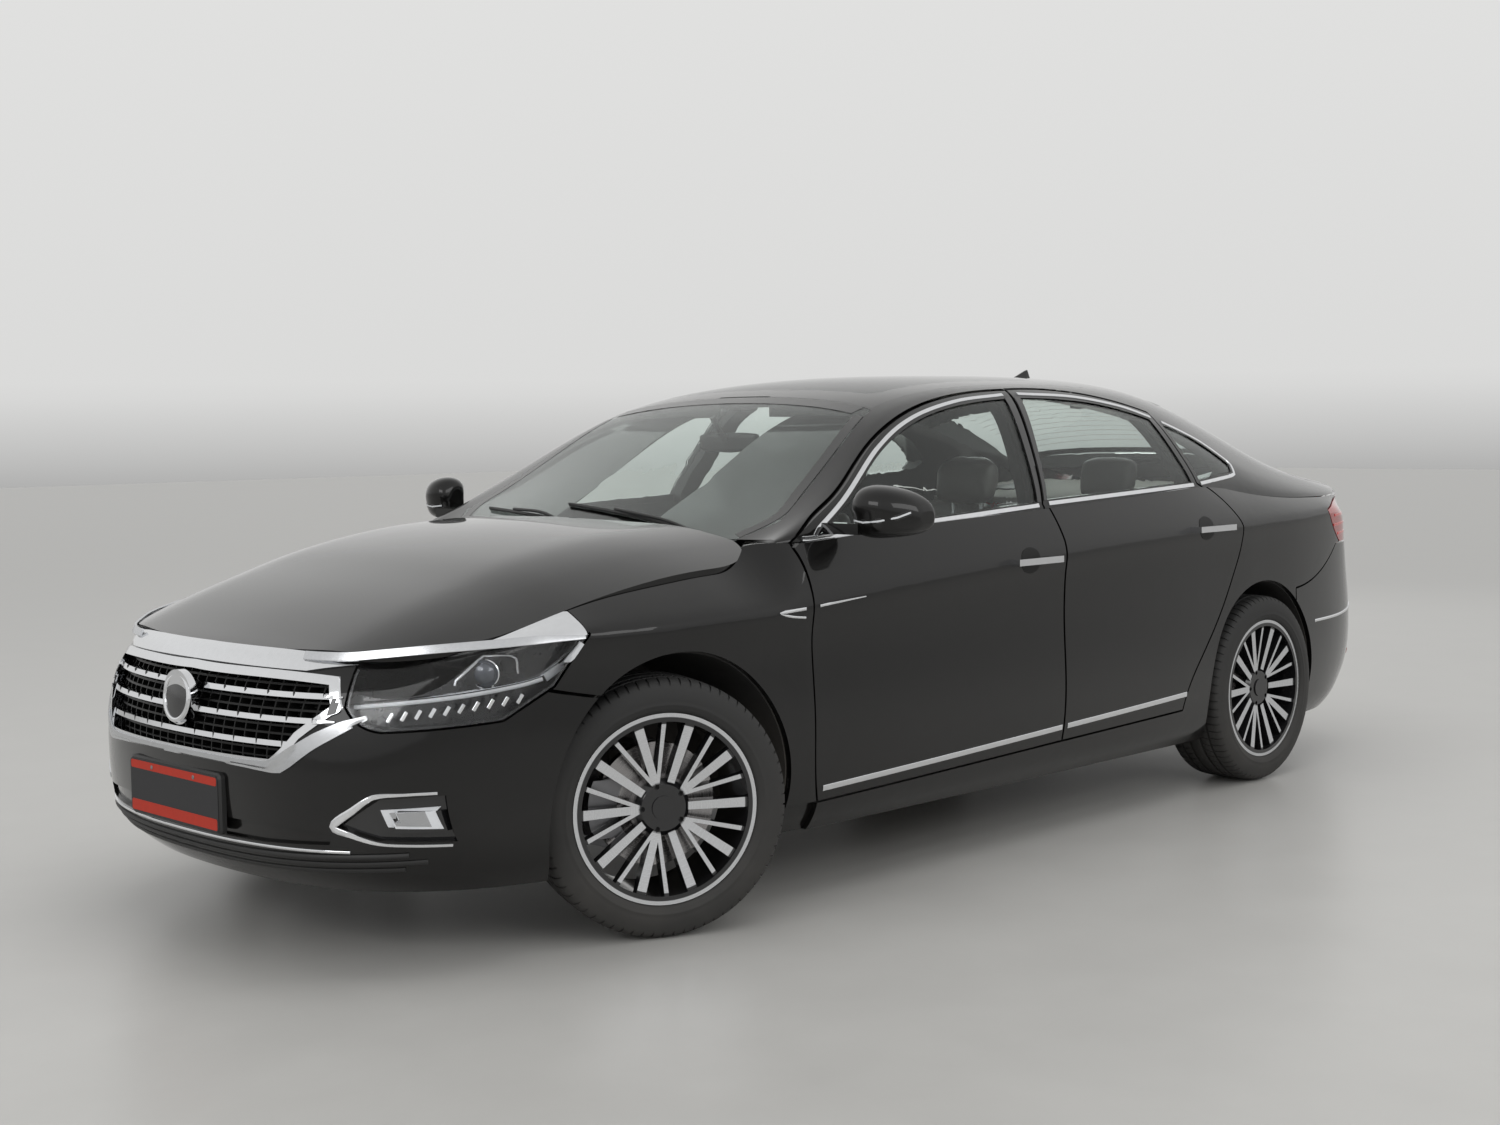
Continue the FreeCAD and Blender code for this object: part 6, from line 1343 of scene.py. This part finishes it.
# Door card, armrest, pull, inner handle and speaker
def lineDoor(end, side, word):
    x0, x1, low, high, speakerBack = cabin["doors"][end]
    door, body, mark = treeOf("door_%s_%s" % (end, word)), "%s_door_%s" % (end, word), "_%s_%s" % (end, word)
    middle = (x0 + x1) / 2
    rows = sideRows([(x0, low), (x1, low)], [(x0, high), (x1, high)], 14, 24)
    layPatch("doorCard" + mark, door, rows, (0, side, 0), 0.001, 0.006, dashSkin, body, "interior", start=0.0)
    inner = cast(door, (middle, 0, 0.66), (0, side, 0))[0].y
    block("doorArmrest" + mark, ((x1 - x0) * 0.55, 0.060, 0.050),
          at(middle - 0.04, inner - side * 0.034, 0.640), 0.018, leather, body, "seat_leather", cuts=4)
    block("doorGrab" + mark, (0.150, 0.022, 0.030), at(middle + 0.06, inner - side * 0.026, 0.730), 0.009,
          trimLight, body, "interior", cuts=3)
    block("doorLatch" + mark, (0.095, 0.018, 0.026), at(x1 - 0.16, inner - side * 0.012, 0.790), 0.007,
          satinChrome, body, "chrome", cuts=2)
    facing = Matrix.Rotation(math.radians(90 * side), 4, "X")
    lathe("doorSpeaker" + mark, cabin["speaker"], at(x1 - speakerBack, inner - side * 0.006, 0.500) @ facing,
          blackTrim, body, "black_trim", 36)


for side, word in sides.items():
    for end in cabin["doors"]:
        lineDoor(end, side, word)
# Shelf behind the rear seat
block("parcelShelf", (0.590, 1.080, 0.024), at(-1.490, 0, 1.022, 0, 5), 0.008, roofCloth, "body", "interior",
      cuts=5)
for side, word in sides.items():
    roundPlate("shelfSpeaker_" + word, at(-1.500, side * 0.360, 1.036, 0, 5), 0.210, 0.150, 0.006, 0.060,
               blackTrim, "body", "black_trim")
print("stage: cabin")


# Rear: number plate, lamp guides, bright strips, lower insert, tail pipes and boot lining
rear = {
    "bootStrip": [(-0.560, 0.838), (-0.300, 0.834), (0, 0.833), (0.300, 0.834), (0.560, 0.838)],
    "bumperStrip": [(-1.720, 0.545), (-1.960, 0.548), (-2.140, 0.560), (-2.240, 0.574)],
    "guides": (0.868, 0.905, 0.942), "guideSize": (0.010, 0.0018, 0.001), "inserts": (0.215, 0.245, 0.310),
    "pipe": (0.560, 0.262), "pipeReach": (0.070, 0.024), "pipeDark": (0.055, 0.012), "pipeSteps": 28,
}
rearTree = treeOf("rear_bumper")
bootLampTree, tailLampTree = treeOf("boot_lamps"), treeOf("tail_lamps")
plateSet("rear", rearTree, -1)
hits = frontHits(treeOf("boot_lid", "boot_lamps"), frontLine(rear["bootStrip"], 0.03), 1)
strip("bootStrip", hits, (0.014, 0.004, 0.002), chrome, "boot_lid", "chrome")
for side, word in sides.items():
    hits = sideHits(rearTree, sideLine(rear["bumperStrip"], 0.02), side)
    strip("rearStrip_" + word, hits, (0.010, 0.003, 0.002), chrome, "body", "chrome")
    # Light guides: stacked glowing bars in each lamp
    for number, z in enumerate(rear["guides"]):
        line = [(side * (0.24 + 0.02 * step), z + 0.0006 * step) for step in range(17)]
        hits = frontHits(bootLampTree, line, 1)
        strip("bootLampGuide%d_%s" % (number, word), hits, rear["guideSize"], redGlow, "boot_lid", "red_lens")
        line = [(-1.90 - 0.02 * step, z - 0.010 + 0.0008 * step) for step in range(18)]
        strip("tailLampGuide%d_%s" % (number, word), sideHits(tailLampTree, line, side), rear["guideSize"],
              redGlow, "body", "red_lens")
    line = [(side * (0.50 + 0.02 * step), 0.372 + 0.0006 * step) for step in range(13)]
    hits = frontHits(rearTree, line, 1)
    strip("rearReflector_" + word, hits, (0.022, 0.004, 0.002), redLens, "body", "red_lens")
    (y, z), (across, up) = rear["pipe"], rear["pipeReach"]
    turns = [2 * math.pi * step / rear["pipeSteps"] for step in range(rear["pipeSteps"])]
    line = [(side * (y + across * math.cos(turn)), z + up * math.sin(turn)) for turn in turns]
    strip("tailPipeTrim_" + word, frontHits(rearTree, line, 1), (0.010, 0.006, 0.002), chrome, "body",
          "chrome", closed=True)
    across, up = rear["pipeDark"]
    corners = [[(y - across, height), (y + across, height)] for height in (z - up, z + up)]
    rows = frontRows(side, *corners, 5, 9)
    layPatch("tailPipeDark_" + word, rearTree, rows, (1, 0, 0), 0.0004, 0.0012, glossBlack, "body",
             "black_trim")
for number, z in enumerate(rear["inserts"]):
    hits = frontHits(rearTree, [(step * 0.05, z) for step in range(-9, 10)], 1)
    strip("rearInsert%d" % number, hits, (0.015, 0.004, 0.002, 0.5), blackTrim, "body", "black_trim")
# Boot: carpet on its floor and lining under the lid
layPatch("bootCarpet", floorTree, planRows(-2.180, -1.300, -0.500, 0.500, 0.90, 16, 18), (0, 0, -1), 0.002,
         0.008, carpet, "body", "interior", start=0.1)
layPatch("bootLidLining", treeOf("boot_lid"), planRows(-2.280, -1.900, -0.480, 0.480, 0.6, 12, 18), (0, 0, 1),
         0.002, 0.006, carpet, "boot_lid", "interior", start=0.0)


# Engine bay: cover, battery, filter box, caps, hoses and the lining under the hood
bay = {
    "ribs": 5, "ribFirst": -0.150, "ribStep": 0.075,
    "oilCap": [(0.030, 0), (0.032, 0.012), (0.026, 0.020), (0.012, 0.023), (0.002, 0.024)],
    "posts": {"batteryPostFront": 1.560, "batteryPostRear": 1.380},
    "post": [(0.009, -0.002), (0.0085, 0.016), (0.002, 0.017)],
    "intakeHose": [(1.640, 0.330, 0.790), (1.720, 0.290, 0.820), (1.800, 0.320, 0.812),
                   (1.830, 0.360, 0.800)],
    "tank": [(0.060, -0.050), (0.072, -0.030), (0.074, 0.020), (0.050, 0.046), (0.020, 0.052),
             (0.002, 0.053)],
    "tankCap": [(0.024, 0), (0.026, 0.012), (0.018, 0.019), (0.002, 0.020)],
    "coolantHose": [(1.460, -0.360, 0.760), (1.560, -0.330, 0.790), (1.700, -0.310, 0.780),
                    (1.860, -0.280, 0.720)],
    "hoodRibs": (-0.36, -0.12, 0.12, 0.36), "hoodRibFirst": 1.320, "hoodRibStep": 0.038, "hoodRibSteps": 22,
    "hoodRibDrop": 0.009,
}
engineCover = makeSurface("coverGrained", (0.030, 0.030, 0.031), 0.48, speckle=0.08, grain=0.4, grainSize=420)
tankMilky = makeSurface("tankMilky", (0.55, 0.55, 0.50), 0.35, speckle=0.06)
hoodTree = treeOf("hood")
block("engineCover", (0.440, 0.460, 0.036), at(1.600, 0.010, 0.851), 0.014, engineCover, "body", "black_trim",
      cuts=6, form=lambda co: Vector((co.x, co.y, co.z + 0.006 * math.cos(co.x * 9) * math.cos(co.y * 8))))
for number in range(bay["ribs"]):
    block("engineCoverRib%d" % number, (0.300, 0.012, 0.008),
          at(1.610, bay["ribFirst"] + number * bay["ribStep"], 0.876), 0.003, engineCover, "body",
          "black_trim", cuts=1)
lathe("oilCap", bay["oilCap"], at(1.740, -0.150, 0.870), blackTrim, "body", "black_trim", 28)
block("battery", (0.280, 0.175, 0.175), at(1.470, 0.405, 0.778), 0.010, blackTrim, "body", "black_trim",
      cuts=3)
block("batteryTray", (0.300, 0.190, 0.030), at(1.470, 0.405, 0.676), 0.006, underbody, "body", "black_trim",
      cuts=2)
for name, x in bay["posts"].items():
    lathe(name, bay["post"], at(x, 0.430, 0.866), steel, "body", "steel", 18)
block("filterBox", (0.300, 0.190, 0.150), at(1.760, 0.400, 0.750), 0.022, engineCover, "body", "black_trim",
      cuts=4, form=lambda co: Vector((co.x, co.y * (1 - 0.25 * (co.z + 0.075)), co.z)))
tube("intakeHose", bay["intakeHose"], 0.030, rubber, "body", "black_trim", 18, 0.02)
lathe("coolantTank", bay["tank"], at(1.420, -0.400, 0.780), tankMilky, "body", "black_trim")
lathe("coolantCap", bay["tankCap"], at(1.420, -0.400, 0.832), blackTrim, "body", "black_trim", 24)
tube("coolantHose", bay["coolantHose"], 0.016, rubber, "body", "black_trim", 14, 0.025)
rows = between([(1.290, -0.500, 0.6), (1.290, 0.500, 0.6)], [(2.150, -0.440, 0.6), (2.150, 0.440, 0.6)],
               20, 24)
layPatch("hoodLining", hoodTree, rows, (0, 0, 1), 0.002, 0.007, carpet, "hood", "interior", start=0.0)
for number, y in enumerate(bay["hoodRibs"]):
    line = [(bay["hoodRibFirst"] + step * bay["hoodRibStep"], y, 0.6) for step in range(bay["hoodRibSteps"])]
    hits = [(p - Vector((0, 0, bay["hoodRibDrop"])), n) for p, n in hitsAlong(hoodTree, line, (0, 0, 1))]
    strip("hoodLiningRib%d" % number, hits, (0.030, 0.006, 0.001, 0.5), carpet, "hood", "interior")
print("stage: rear and engine bay")
